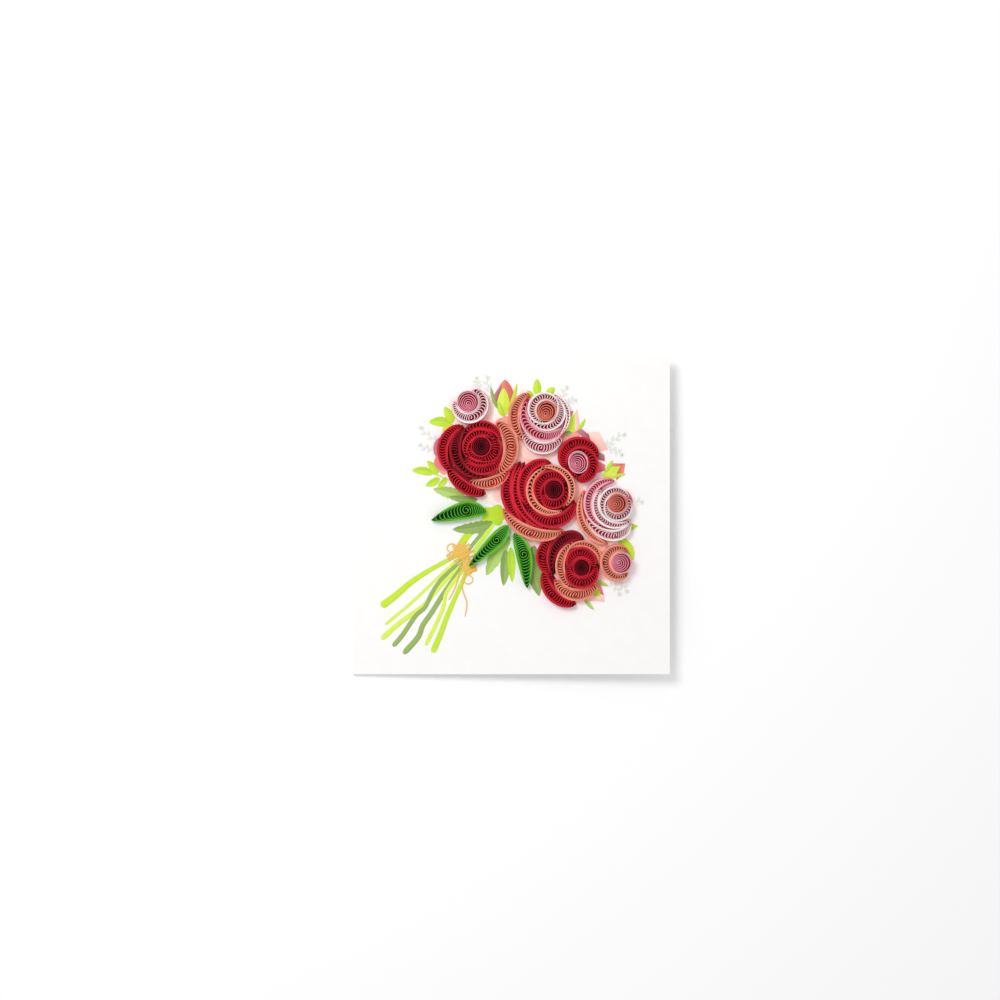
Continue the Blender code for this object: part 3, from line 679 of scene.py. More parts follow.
def new_material(name, roughness, specular):
    """A material with its node tree and shader, matt for a high roughness."""
    material = bpy.data.materials.new(name)
    material.use_nodes = True
    shader = material.node_tree.nodes["Principled BSDF"]
    shader.inputs["Roughness"].default_value = roughness
    shader.inputs["Specular IOR Level"].default_value = specular
    return material, material.node_tree, shader


def colour_surface(tree, shader, paint, patch, low, high):
    """Gives the shader a colour whose brightness drifts between two shares in patches of this size."""
    drift = ramp(tree, object_noise(tree, patch), 0.3, 0.7, low, high)
    toned = add_node(tree, "ShaderNodeHueSaturation", {"Color": paint, "Value": drift})
    tree.links.new(toned.outputs["Color"], shader.inputs["Base Color"])


def roughen_surface(tree, shader, size, detail, strength, depth):
    """Raises a grain of this size on the surface, so that light on it is broken up as on paper."""
    grain = object_noise(tree, size, detail)
    bump = add_node(tree, "ShaderNodeBump", {"Height": grain, "Strength": strength, "Distance": depth})
    tree.links.new(bump.outputs["Normal"], shader.inputs["Normal"])


def quilling_paper(paper):
    """The dyed paper of this name, with its painted light and shade, made when a piece first needs it."""
    name = "Quilling paper " + paper.replace("_", " ")
    return bpy.data.materials.get(name) or dyed_paper_with_painted_light(name, *PAPERS_WITH_PAINTED_LIGHT[paper])


def dyed_paper_with_painted_light(name, rim, arc, painted_shade_face):
    """Dyed text-weight paper cut in strips: matt, with fibres, and with painted shade on its faces.

    The faces are coloured deeper than the edges as painted shade between the turns, and only near their
    top do they turn lighter. The cut edges of the bunched turns carry painted light as one bright rim,
    and those that cross a petal are painted as thin darker lines, for the shade of the deep gap that each
    stands over. The mottle shows as the faint unevenness of dyed pulp.
    """
    material, tree, shader = new_material(name, 0.78, 0.2)
    painted_edge_light = add_node(tree, "ShaderNodeAttribute", attribute_name="painted_edge_light").outputs["Fac"]
    rise = add_node(tree, "ShaderNodeAttribute", attribute_name="rise").outputs["Fac"]
    normal = add_node(tree, "ShaderNodeNewGeometry").outputs["True Normal"]
    upright = add_node(tree, "ShaderNodeSeparateXYZ", {0: normal}).outputs["Z"]
    is_edge = ramp(tree, upright, 0.6, 0.85)
    # The top edges run from the painted shade of the faces, deep in a dark coil, through the arc colour to
    # the painted light of the rim
    edge = blended(tree, ramp(tree, painted_edge_light, 0.0, FAR_EDGE), rgba(painted_shade_face), rgba(arc))
    edge = blended(tree, ramp(tree, painted_edge_light, FAR_EDGE, 0.8), edge, rgba(rim))
    # The sides take painted shade, lighter only near their top, and the painted light of the rim where the
    # turns bunch
    side = blended(tree, ramp(tree, rise, 0.8, 1.0), rgba(painted_shade_face), rgba(arc))
    side = blended(tree, ramp(tree, painted_edge_light, 0.7, 1.0), side, rgba(rim))
    colour_surface(tree, shader, blended(tree, is_edge, side, edge), 1.1 * MM, 0.9, 1.06)
    roughen_surface(tree, shader, 0.18 * MM, 4.0, 0.12, 0.03 * MM)
    return material


def card_stock(white):
    """Smooth white cover stock of about 300 g, calendered.

    It is matt. Its cloudy formation keeps the wide white from looking flat, and its fibre grain shows
    only close up.
    """
    material, tree, shader = new_material("White cover stock", 0.62, 0.25)
    cloud = ramp(tree, object_noise(tree, 6 * MM), 0.35, 0.65)
    darker = [c * 0.985 for c in white]
    paint = blended(tree, cloud, (*darker, 1.0), (*white, 1.0))
    tree.links.new(paint, shader.inputs["Base Color"])
    roughen_surface(tree, shader, 0.25 * MM, 5.0, 0.08, 0.02 * MM)
    return material


def painted_shade_material(paper):
    """The painted shade under this paper, a deep matt sheet, made when a piece first needs it."""
    name = "Painted shade bed " + paper.replace("_", " ")
    return bpy.data.materials.get(name) or painted_shade_sheet(name, PAINTED_SHADE_BEDS[paper])


def painted_shade_sheet(name, tone):
    """Painted shade: one deep, matt tone, mottled like the print, laid under the turns for the shade
    between them.
    """
    material, tree, shader = new_material(name, 0.65, 0.2)
    colour_surface(tree, shader, rgba(tone), 1.5 * MM, 0.85, 1.1)
    return material


def ink_material(kind, ink, paint_with):
    """The offset ink of this kind of print and tone, made when a piece first needs it."""
    name = f"Printed {kind} {ink.replace('_', ' ')}"
    return bpy.data.materials.get(name) or washed_ink(name, ink, paint_with)


def washed_ink(name, ink, paint_with):
    """Offset ink on the card, as smooth as the card. A soft mottle gives it the look of watercolour."""
    material, tree, shader = new_material(name, 0.6, 0.25)
    colour_surface(tree, shader, paint_with(tree, *INKS[ink]), 2.2 * MM, 0.97, 1.03)
    return material


def uv_parts(tree):
    """How far along a printed shape a point is, and how far across it, each from 0 to 1."""
    uv = add_node(tree, "ShaderNodeUVMap", uv_map="UVMap").outputs["UV"]
    parts = add_node(tree, "ShaderNodeSeparateXYZ", {0: uv})
    return parts.outputs["X"], parts.outputs["Y"]


def leaf_paint(tree, light, deep):
    """One half of the leaf is deeper, the tip is lighter, and a pale midrib runs between the halves."""
    along, across = uv_parts(tree)
    half = ramp(tree, across, 0.48, 0.52, 0.0, 0.55)
    base = blended(tree, half, rgba(light), rgba(deep))
    base = blended(tree, ramp(tree, along, 0.35, 1.0, 0.0, 0.45), base, rgba(deep))
    rib = ramp(tree, distance_from(tree, across, 0.5), 0.02, 0.05, 0.12, 0.0)
    return blended(tree, rib, base, (1.0, 1.0, 0.85, 1.0))


def bloom_paint(tree, light, deep):
    """Overlapping petals as a spiral of soft steps about the middle, each deeper at its inner edge.

    The step is the fraction of the radius times the number of petals in it, plus the share of a turn.
    """
    x, y = (maths(tree, "SUBTRACT", part, 0.5) for part in uv_parts(tree))
    squares = maths(tree, "ADD", maths(tree, "MULTIPLY", x, x), maths(tree, "MULTIPLY", y, y))
    outward = maths(tree, "MULTIPLY", maths(tree, "SQRT", squares), 4.5)
    turned = maths(tree, "MULTIPLY", maths(tree, "ARCTAN2", y, x), 1 / math.tau)
    step = maths(tree, "FRACT", maths(tree, "ADD", outward, turned))
    return blended(tree, ramp(tree, step, 0.0, 0.7, 0.6, 0.0), rgba(light), rgba(deep))


def bud_paint(tree, light, deep):
    """A closed bud, deeper towards one side and along the seam that slants between its two petals."""
    along, across = uv_parts(tree)
    slant = maths(tree, "ADD", across, maths(tree, "MULTIPLY", along, 0.35))
    seam = distance_from(tree, slant, 0.7)
    base = blended(tree, ramp(tree, across, 0.1, 0.9), rgba(light), rgba(deep))
    return blended(tree, ramp(tree, seam, 0.0, 0.06, 0.5, 0.0), base, rgba(deep))


def stem_paint(tree, light, deep):
    """A stem that is deeper along one edge, so that it looks round."""
    across = uv_parts(tree)[1]
    return blended(tree, ramp(tree, across, 0.55, 0.95, 0.0, 0.35), rgba(light), rgba(deep))


def twine_paint(tree, light, deep):
    """Two twisted plies: slanting bands that repeat along the twine, with a deeper edge."""
    along, across = uv_parts(tree)
    ply = maths(tree, "FRACT", maths(tree, "ADD", along, maths(tree, "MULTIPLY", across, 0.8)))
    between = ramp(tree, distance_from(tree, ply, 0.5), 0.3, 0.5, 0.0, 0.9)
    edge = ramp(tree, distance_from(tree, across, 0.5), 0.32, 0.5, 0.0, 0.8)
    return blended(tree, edge, blended(tree, between, rgba(light), rgba(deep)), rgba(deep))


def plain_paint(tree, light, deep):
    """A pale wash that deepens from one end to the other."""
    along = uv_parts(tree)[0]
    return blended(tree, ramp(tree, along, 0.0, 1.0, 0.0, 0.7), rgba(light), rgba(deep))


# Printed shapes, each a grid of points on the card with its UV pairs

# Where each kind of print begins in the stack of fields, each field a step above the one before
BLOOM_LEVEL = 0
SPRIG_LEVEL = 17
STEM_LEVEL = 20
HEART_LEVEL = 31
TWIG_LEVEL = 32
LEAF_LEVEL = 33
BUD_LEVEL = 56
TWINE_LEVEL = 88
# The beds of painted shade lie above all the print
BED_LEVEL = 92
COIL_BED_LEVEL = 98


class Sheet:
    """Collects the grids of one piece of print, each a share of a step above the one before it."""

    def __init__(self):
        """Starts with no grid."""
        self.points, self.uv, self.faces, self.count = [], [], [], 0

    def add(self, flat, uv):
        """Adds a grid of places on the card, in metres, with its UV pairs."""
        rows, columns = flat.shape[:2]
        self.faces.append(grid_faces(rows, columns, self.count))
        self.points.append(flat.reshape(-1, 2))
        self.uv.append(uv.reshape(-1, 2))
        self.count += rows * columns

    def piece(self, context, name, level, material):
        """Makes one piece of the grids, at their level of the stack, and turns every face upwards."""
        ink = context.scene.quilled_card.ink
        flat = np.concatenate(self.points)
        sizes = [len(grid) for grid in self.points]
        share = np.repeat(np.arange(len(sizes)) / len(sizes), sizes)
        points = on_card(context, flat[:, 0], flat[:, 1], ink.lift + ink.step * (level + share))
        faces = np.concatenate(self.faces)
        corners = points[faces]
        area = np.cross(corners[:, 1] - corners[:, 0], corners[:, 3] - corners[:, 0])[:, 2]
        faces[area < 0] = faces[area < 0][:, ::-1]
        made = new_piece(name, points, faces, material, uv=np.concatenate(self.uv))
        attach(made, "root")


def print_piece(context, name, level, material, add, *shape):
    """Prints one shape as a piece of its own."""
    sheet = Sheet()
    add(sheet, *shape)
    sheet.piece(context, name, level, material)


def share_grid(rows, columns):
    """Shares from 0 to 1 along the rows and across the columns."""
    along, across = np.meshgrid(np.linspace(0, 1, rows), np.linspace(0, 1, columns), indexing="ij")
    return along, across


# How many teeth a toothed leaf has along each side
TEETH = 7


def add_leaf(sheet, leaf, rows=17, columns=7, tooth=0.0):
    """A leaf blade: the midrib line plus a share of the half width to each side.

    A toothed edge swells and dips by a saw of the share along it, most at the very edge.
    """
    shape = LeafShape(leaf)
    along, across = share_grid(rows, columns)
    warped = 2 * along - 1
    saw = (along * TEETH) % 1 - 0.5
    edge = shape.half_width(warped) * (1 + 2 * tooth * saw * np.abs(2 * across - 1))
    sheet.add(shape.place(warped, (2 * across - 1) * edge), np.stack([along, across], -1))


def add_facet(sheet, corners, cells=7):
    """A flat four-cornered petal: the corners blended in both directions."""
    first, second, third, fourth = np.array(corners) * MM
    along, across = (part[..., None] for part in share_grid(cells, cells))
    near = first * (1 - along) + second * along
    far = fourth * (1 - along) + third * along
    sheet.add(near * (1 - across) + far * across, np.concatenate([along, across], -1))


def add_bloom(sheet, middle, reach, turned=0.0, lobes=5, depth=0.08, cells=17):
    """A rounded patch: a square grid eased to a disc, whose radius swells and dips round its lobes."""
    u, v = share_grid(cells, cells)
    x, y = 2 * u - 1, 2 * v - 1
    disc = np.stack([x * np.sqrt(1 - y * y / 2), y * np.sqrt(1 - x * x / 2)], -1)
    radius = np.linalg.norm(disc, axis=-1)
    angle = np.arctan2(disc[..., 1], disc[..., 0])
    disc = disc * (1 + depth * (np.cos(lobes * angle) - 0.5) * radius**2)[..., None]
    flat = disc * np.array(reach)
    sheet.add((np.array(middle) + flat @ turning(turned)) * MM, disc / 2 + 0.5)


# How much wider a bed of painted shade is than its petal on the hollow side, and on both, in millimetres
BED_REACH = {"red": 3.2, "maroon": 3.2, "coral": 1.8, "pink": 0.8, "blush": 0.8}
BED_MARGIN = 0.05


def add_petal_bed(sheet, shape, reach):
    """A petal's bed of painted shade: its outline with a margin, widened on its hollow side by a reach
    that is nil at the tips.
    """
    along, across = share_grid(21, 5)
    warped = 2 * along - 1
    edge = shape.half_width(warped) + BED_MARGIN * MM
    hollow = edge + reach * MM * (1 - warped**2) ** 0.5
    away = np.where(across > 0.5, (2 * across - 1) * edge, (2 * across - 1) * hollow)
    sheet.add(shape.place(warped, away), np.stack([along, across], -1))


def smooth_route(places, count):
    """A curve through given places, by cubic steps between them with shared slopes."""
    places = np.array(places, float)
    slopes = np.gradient(places, axis=0)
    t = np.linspace(0, len(places) - 1, count)
    i = np.minimum(t.astype(int), len(places) - 2)
    s = (t - i)[:, None]
    a, b, ma, mb = places[i], places[i + 1], slopes[i], slopes[i + 1]
    return (
        a * (2 * s**3 - 3 * s**2 + 1)
        + ma * (s**3 - 2 * s**2 + s)
        + b * (3 * s**2 - 2 * s**3)
        + mb * (s**3 - s**2)
    )


# Where along a line of print its end begins to round off, over what share, and the least that is left
# there of the square of the width
ROUND_FROM, ROUND_SPAN, ROUND_LEAST = 0.95, 0.055, 0.02

# Stations along a stem, tail or loop, along a strand of the tie, a twig, and the stalk of a sprig
LINE_STATIONS, STRAND_STATIONS, TWIG_STATIONS, STALK_STATIONS = 41, 31, 15, 12


def add_ribbon(sheet, places, width, end_width, count, repeat=None):
    """A line of print: a smooth route with half its width to each side, rounded at the far end.

    The width there falls as the side of a circle does. With a repeat in millimetres, the first UV
    counts repeats along the line.
    """
    line = smooth_route(places, count) * MM
    along = np.gradient(line, axis=0)
    along /= np.linalg.norm(along, axis=1, keepdims=True)
    normal = np.stack([-along[:, 1], along[:, 0]], -1)
    u, v = share_grid(count, 5)
    widths = np.linspace(width, end_width, count) * MM
    past = np.clip((u[:, 0] - ROUND_FROM) / ROUND_SPAN, 0, 1)
    round_off = np.sqrt(np.clip(1 - past**2, ROUND_LEAST, 1))
    across = (v - 0.5) * (widths * round_off)[:, None]
    flat = line[:, None, :] + normal[:, None, :] * across[..., None]
    run = np.concatenate([[0], np.cumsum(np.linalg.norm(np.diff(line, axis=0), axis=1))])
    length_along = u if repeat is None else np.repeat((run / (repeat * MM))[:, None], 5, 1)
    sheet.add(flat, np.stack([length_along, v], -1))


# Each stem's ink, its widths at the tie and at its end, and its route
STEMS = (
    ("lime", 1.8, 3.8, (
        (-23.0, -17.5), (-38.2, -25.8), (-47.7, -31.9), (-55.3, -38.4), (-62.2, -43.6),
    )),
    ("pale_lime", 1.3, 1.6, ((-23.4, -18.9), (-36.0, -30.7), (-47.7, -41.8), (-60.4, -52.4))),
    ("pale_lime", 1.8, 2.6, (
        (-22.6, -22.2), (-34.4, -34.5), (-42.0, -43.2), (-53.4, -51.6), (-62.2, -59.4),
    )),
    ("olive", 1.8, 2.4, (
        (-22.5, -20.6), (-32.5, -29.6), (-37.5, -36.4), (-41.3, -44.0), (-45.8, -48.2),
        (-52.3, -57.7), (-56.7, -62.8),
    )),
    ("olive", 2.2, 2.8, (
        (-22.2, -22.8), (-31.4, -36.0), (-38.2, -46.7), (-42.4, -52.8), (-44.7, -58.5), (-51.6, -66.4),
    )),
    ("pale_lime", 1.7, 2.0, (
        (-21.6, -24.4), (-30.6, -36.4), (-32.5, -44.0), (-36.3, -52.8), (-41.0, -62.4),
    )),
    ("lime", 1.9, 3.0, (
        (-20.6, -25.6), (-25.3, -36.0), (-30.6, -48.2), (-33.7, -56.5), (-37.6, -65.8),
    )),
    ("lime", 3.6, 3.2, ((-25.5, -16.4), (-19.8, -8.4), (-9.6, -0.6))),
    ("olive", 1.8, 1.8, ((-21.3, -17.6), (-13.5, -7.8), (-7.5, 0.8))),
    ("pale_lime", 2.0, 2.2, ((-18.4, -18.0), (-9.6, -5.7), (-5.8, 1.2))),
)

# The lime patch where the stems meet: middle, reach, angle, lobes and their depth
LIME_HEART = ((-8.0, 0.2), (6.8, 4.9), 0, 5, 0.14)

# A leaf whose half width is over this many millimetres has teeth, as deep as this share of it, and takes
# this many rows and columns
BROAD_LEAF = 2.75
TOOTH = 0.1
TOOTHED_GRID = (61, 7)

# Each flat leaf's ink and shape
FLAT_LEAVES = (
    ("sage", Leaf((-37.4, 12.7), (-21.5, 7.4), 0.8, 2.8)),
    ("olive", Leaf((-30.0, 9.0), (-16.0, 7.6), -0.6, 1.8)),
    ("olive", Leaf((-28.1, -6.8), (-8.8, -3.2), -1.2, 2.8)),
    ("sage", Leaf((-11.8, -28.8), (-0.7, -10.1), 0.9, 3.4)),
    ("olive", Leaf((-3.6, -33.9), (-2.6, -16.3), -0.3, 2.4)),
    ("lime", Leaf((0.6, -32.2), (-0.2, -15.2), 0.0, 1.9)),
    ("olive", Leaf((13.5, -38.7), (11.0, -14.4), 1.4, 3.6)),
    ("lime", Leaf((-39.5, 44.8), (-28.9, 43.8), 0.8, 2.4)),
    ("lime", Leaf((-32.0, 52.2), (-28.3, 44.2), 0.5, 2.2)),
    ("pale_lime", Leaf((-33.1, 40.4), (-28.7, 43.7), 0.0, 1.3)),
    ("lime", Leaf((-47.6, 21.7), (-37.3, 20.0), 0.6, 2.0)),
    ("lime", Leaf((-40.3, 26.2), (-35.2, 19.8), 0.4, 1.8)),
    ("lime", Leaf((-40.9, 14.2), (-34.3, 18.0), -0.4, 1.8)),
    ("lime", Leaf((-35.2, 13.2), (-31.0, 18.4), -0.4, 1.4)),
    ("lime", Leaf((12.4, 65.6), (12.6, 57.4), 0.0, 2.0)),
    ("lime", Leaf((20.8, 61.4), (17.2, 57.6), 0.0, 1.8)),
    ("lime", Leaf((7.6, 60.0), (10.6, 56.8), 0.0, 1.2)),
    ("lime", Leaf((58.8, -21.4), (50.8, -9.4), -0.7, 2.7, -0.1, 0.9)),
    ("sage", Leaf((39.8, -45.3), (35.2, -39.2), 0.4, 1.0)),
    ("sage", Leaf((46.9, -33.9), (40.5, -30.6), 0.4, 1.0)),
)

# The routes of the two twigs, from their leaves inwards, and their widths at both ends
TWIGS = (
    ((-37.3, 20.0), (-33.0, 18.4), (-28.5, 16.4)),
    ((-28.9, 43.8), (-26.0, 42.6), (-23.0, 40.0)),
)

TWIG_WIDTHS = (0.6, 0.5)

# Each pale bloom's ink, middle, reach, angle and lobes
PALE_BLOOMS = (
    ("cream", (-21.2, 50.2), (9.6, 9.4), 0, 5),
    ("peach", (-11.6, 52.0), (3.2, 7.4), 12, 4),
    ("cream", (-3.4, 41.0), (6.6, 6.2), 0, 5),
    ("rose_pink", (-2.9, 43.6), (4.4, 4.0), 0, 5),
    ("cream", (3.8, 36.6), (3.4, 4.6), 0, 4),
    ("peach", (11.6, 30.4), (10.4, 6.6), 0, 5),
    ("rose_pink", (25.2, 32.9), (2.8, 5.2), 0, 5),
    ("rose_pink", (29.0, 38.6), (5.4, 3.2), 20, 4),
    ("cream", (27.0, 16.5), (5.0, 5.4), 0, 4),
    ("peach", (32.4, 6.0), (3.2, 13.0), 0, 5),
    ("cream", (41.4, -13.8), (6.4, 5.0), 0, 5),
    ("peach", (42.0, -22.6), (3.8, 9.0), 0, 5),
    ("peach", (49.0, -27.4), (7.4, 4.6), 0, 5),
    ("peach", (8.6, -15.2), (3.4, 3.0), 0, 4),
    ("cream", (-10.2, 8.8), (4.2, 3.8), 0, 5),
    ("peach", (-6.4, 9.8), (2.4, 3.6), 0, 4),
    ("rose_pink", (-32.4, 23.0), (3.4, 3.4), 0, 4),
)

# Rows and columns of a bud that has a leaf's shape
BUD_GRID = (21, 9)

# Buds and their sepals: a leaf shape, or the four corners of a flat petal
BUDS = (
    ("mauve", Leaf((-34.4, 37.4), (-33.8, 26.4), -1.0, 2.2, 0.0, 0.6)),
    ("rose_red", Leaf((-34.6, 29.8), (-31.0, 21.6), -1.2, 3.0, 0.0, 0.6)),
    ("peach", ((35.5, 39.8), (42.2, 40.2), (46.6, 31.8), (38.6, 29.4))),
    ("mauve", ((31.4, 40.2), (33.6, 41.8), (37.4, 38.8), (38.8, 34.0))),
    ("mauve", ((39.0, 31.8), (44.8, 29.2), (45.0, 26.0), (40.5, 27.2))),
    ("rose_red", ((39.5, 27.4), (45.3, 24.2), (45.0, 21.6), (41.1, 20.2))),
    ("bud_coral", Leaf((-2.9, 65.2), (-2.8, 51.8), 0.0, 4.3, 0.2, 0.75)),
    ("mauve", Leaf((-4.4, 62.6), (-7.0, 52.2), -1.3, 1.2, 0.2, 0.7)),
    ("rose_red", ((25.9, 46.0), (27.1, 49.6), (30.0, 50.2), (28.3, 46.4))),
    ("peach", ((30.0, 39.6), (30.3, 48.8), (31.7, 51.0), (33.2, 41.8))),
    ("bud_coral", ((46.8, 22.9), (48.4, 25.0), (54.8, 24.9), (53.4, 22.4))),
    ("bud_coral", ((54.8, 24.9), (53.9, 19.7), (50.4, 16.8), (51.2, 22.8))),
    ("peach", ((37.7, -37.8), (44.4, -37.6), (44.9, -41.4), (36.8, -40.8))),
    ("rose_red", ((40.4, -31.8), (43.0, -32.9), (44.6, -38.4), (41.9, -37.3))),
    ("lime", ((40.3, -31.6), (37.6, -37.4), (40.3, -38.9), (43.2, -38.5))),
    ("pale_lime", Leaf((-3.5, 61.2), (-3.9, 47.4), 0.0, 3.0, 0.2, 0.7)),
    ("olive", Leaf((-9.8, 62.0), (-5.2, 50.2), -0.9, 0.9)),
    ("lime", Leaf((2.9, 63.6), (-1.8, 50.4), 0.8, 0.9)),
    ("lime", Leaf((-6.0, 54.6), (-3.2, 47.2), -0.4, 1.4)),
    ("pale_lime", ((26.3, 40.0), (26.9, 46.0), (30.9, 49.2), (30.6, 39.7))),
    ("lime", Leaf((35.6, 46.6), (32.0, 41.0), 0.4, 0.8)),
    ("olive", Leaf((24.2, 38.0), (29.0, 40.0), 0.2, 1.1)),
    ("pale_lime", ((43.4, 18.8), (46.0, 23.2), (52.4, 23.6), (49.5, 17.6))),
    ("lime", Leaf((48.9, 26.6), (44.9, 20.6), 0.3, 1.0)),
    ("lime", Leaf((55.1, 19.9), (48.3, 18.0), -0.3, 0.8)),
    ("pale_lime", Leaf((50.6, 19.4), (44.0, 19.6), 0.4, 1.5)),
    ("lime", ((53.4, -9.0), (55.4, -2.8), (61.0, -5.0), (57.2, -7.8))),
)

# Each grey sprig's base and tip
SPRIGS = (
    ((-9.0, 55.0), (-11.6, 66.4)),
    ((-14.2, 60.0), (-16.8, 66.0)),
    ((24.0, 51.5), (26.6, 61.6)),
    ((25.2, 53.2), (31.2, 55.4)),
    ((-33.0, 34.0), (-43.6, 42.0)),
    ((-34.0, 31.0), (-44.0, 33.6)),
    ((44.6, 32.4), (54.6, 39.2)),
    ((45.2, 32.6), (53.6, 29.2)),
    ((54.6, 5.4), (63.2, 6.6)),
    ((46.0, -30.0), (52.6, -38.0)),
    ((48.0, -30.6), (56.2, -36.4)),
)

# How many leaflets stand along a sprig, and how far the stalk and a leaflet's two ends lie off the
# straight line
LEAFLETS = 6
STALK_BOW, LEAFLET_BASE, LEAFLET_REACH = 0.5, 0.4, 2.1

# The shares of the sprig's length by which a leaflet slants forwards, and by which the last one runs
# past the tip and begins before it
LEAFLET_SLANT = 0.16
LAST_PAST, LAST_BEFORE = 0.1, 0.06

# The stalk's widths at its base and tip, half the width of a leaflet and of the last one, the peak and
# sharpness of both, and their rows and columns
STALK_WIDTHS = (0.5, 0.3)
LEAFLET_HALF, LAST_HALF = 0.75, 0.8
LEAFLET_FORM = (0.2, 0.6)
LEAFLET_GRID = (9, 3)

# The tie: its two patches of wound twine, and the strands, loops and tails that are drawn over them
TWINE_PATCHES = (((-24.0, -17.4), (5.0, 3.3), -37), ((-19.8, -24.6), (3.7, 3.5), -30))
TWINE_STRANDS = (
    ((-31.0, -19.6), (-26.8, -16.4), (-21.4, -12.6)),
    ((-30.6, -20.8), (-26.0, -17.6), (-20.0, -13.6)),
    ((-30.0, -21.8), (-25.2, -18.6), (-19.0, -14.8)),
    ((-27.4, -22.2), (-23.4, -19.8), (-17.8, -16.6)),
    ((-25.8, -23.6), (-22.2, -21.4), (-16.8, -18.6)),
    ((-24.2, -25.0), (-21.0, -23.2), (-16.2, -20.6)),
    ((-23.6, -26.6), (-20.4, -25.0), (-16.0, -23.2)),
    ((-22.8, -28.2), (-20.0, -26.8), (-17.0, -25.4)),
)

TWINE_LOOPS = (((-28.3, -15.7), 2.3), ((-20.6, -30.8), 2.3))
TWINE_TAILS = (
    ((-24.0, -25.5), (-26.6, -34.0), (-29.9, -40.6)),
    ((-22.0, -27.2), (-23.4, -34.6), (-21.2, -42.1), (-22.1, -48.6)),
)

# The lobes of a patch of twine and their depth
PATCH_LOBES = (6, 0.12)

# The twine's widths and the length of one twist of its plies, in millimetres, and for its loops, how
# flat they are and how many places shape them
TAIL_WIDTHS, LOOP_WIDTHS, STRAND_WIDTHS = (0.7, 0.5), (0.55, 0.55), (0.9, 0.9)
TAIL_TWIST, STRAND_TWIST = 1.1, 1.3
LOOP_FLATNESS = 0.9
LOOP_PLACES = 13

# The seeds of the random draws: a rose's coil and its strip, the strips of petals after their routes,
# the routes and strips of leaves, and how far apart two roses' petals are
COIL_SEED, COIL_STRIP_SEED = 900, 950
PETAL_STRIP_SEED = 500
LEAF_SEED, LEAF_STRIP_SEED = 300, 400
SEEDS_TO_A_ROSE = 20


# Operators

# Stations round the fold, across each panel, and along the fold
FOLD_STATIONS, PANEL_STATIONS, RUN_STATIONS = 25, 40, 49


class FoldedCard(bpy.types.Operator):
    """Makes the folded sheet: back panel, fold and front panel in one."""

    bl_idname = "quilled_card.folded_card"
    bl_label = "Folded card"

    def execute(self, context):
        """Carries the card's profile along the fold: a half turn between two straight panels.

        The profile is a line with half the stock to each side, closed round both free edges.
        """
        card = context.scene.quilled_card.card
        bend = card.fold_radius - card.stock / 2
        axis = np.array([card.fold_radius - card.side / 2, card.fold_radius])
        sweep = math.pi - card.spring
        angle = -math.pi / 2 - sweep * np.linspace(0, 1, FOLD_STATIONS)
        fold = axis + bend * np.stack([np.cos(angle), np.sin(angle)], -1)
        back = np.linspace(card.side / 2, fold[0, 0], PANEL_STATIONS)
        back = np.stack([back, np.full(PANEL_STATIONS, card.stock / 2)], -1)
        reach = np.linspace(0, card.side - card.fold_radius, PANEL_STATIONS)[:, None]
        panel = np.array([math.cos(card.spring), math.sin(card.spring)])
        line = np.concatenate([back[:-1], fold[:-1], fold[-1] + reach * panel])
        along = np.gradient(line, axis=0)
        along /= np.linalg.norm(along, axis=1, keepdims=True)
        normal = np.stack([-along[:, 1], along[:, 0]], -1)
        outer, inner = line - normal * card.stock / 2, line + normal * card.stock / 2
        ring = np.concatenate([outer, inner[::-1]])
        rows, columns = len(ring), RUN_STATIONS
        runs = np.linspace(-card.side / 2, card.side / 2, columns)
        flat = np.broadcast_to(ring[:, None, :], (rows, columns, 2))
        points = np.stack([flat[..., 0], np.broadcast_to(runs, (rows, columns)), flat[..., 1]], -1)
        index = np.arange(rows * columns).reshape(rows, columns)
        closed = np.concatenate([index, index[:1]])
        faces = np.stack([closed[:-1, :-1], closed[:-1, 1:], closed[1:, 1:], closed[1:, :-1]], -1)
        half = len(line)
        caps = []
        for column, flip in ((0, False), (columns - 1, True)):
            low, high = index[:half, column], index[half:, column][::-1]
            cap = np.stack([low[:-1], low[1:], high[1:], high[:-1]], -1)
            caps.append(cap[:, ::-1] if flip else cap)
        faces = np.concatenate([faces.reshape(-1, 4), *caps])
        made = new_piece("folded_card", points.reshape(-1, 3), faces, card_stock(card.white))
        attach(made, "root")
        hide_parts("card")
        return {"FINISHED"}


class PaintedShadeBeds(bpy.types.Operator):
    """Lays painted shade, as dark sheets, under each quilled petal, coil and leaf."""

    bl_idname = "quilled_card.rose_beds"
    bl_label = "Painted shade beds"

    def execute(self, context):
        """Gathers a rose's beds of painted shade by their paper, and adds a disc of it under its inner
        petals and its coil.
        """
        swell = context.scene.quilled_card.quill.swell
        for name, rose in ROSES.items():
            sheets = {}
            for petal in rose.petals[::-1]:
                shape = CrescentShape(rose.middle, petal, swell)
                add_petal_bed(sheets.setdefault(petal.paper, Sheet()), shape, BED_REACH[petal.paper])
            add_bloom(sheets[rose.petals[0].paper], rose.middle, (rose.bed, rose.bed), depth=0.0)
            for index, (paper, sheet) in enumerate(sheets.items()):
                sheet.piece(context, f"{name}_shade_bed_{index}", BED_LEVEL + index, painted_shade_material(paper))
            sheet = Sheet()
            add_bloom(sheet, rose.middle, rose.coil_radii, rose.coil_turned, depth=0.0)
            sheet.piece(context, f"{name}_coil_shade_bed", COIL_BED_LEVEL, painted_shade_material(rose.coil_paper))
        sheet = Sheet()
        for leaf in QUILLED_LEAVES.values():
            add_leaf(sheet, leaf)
        sheet.piece(context, "leaf_shade_beds", BED_LEVEL, painted_shade_material("leaf_green"))
        return {"FINISHED"}


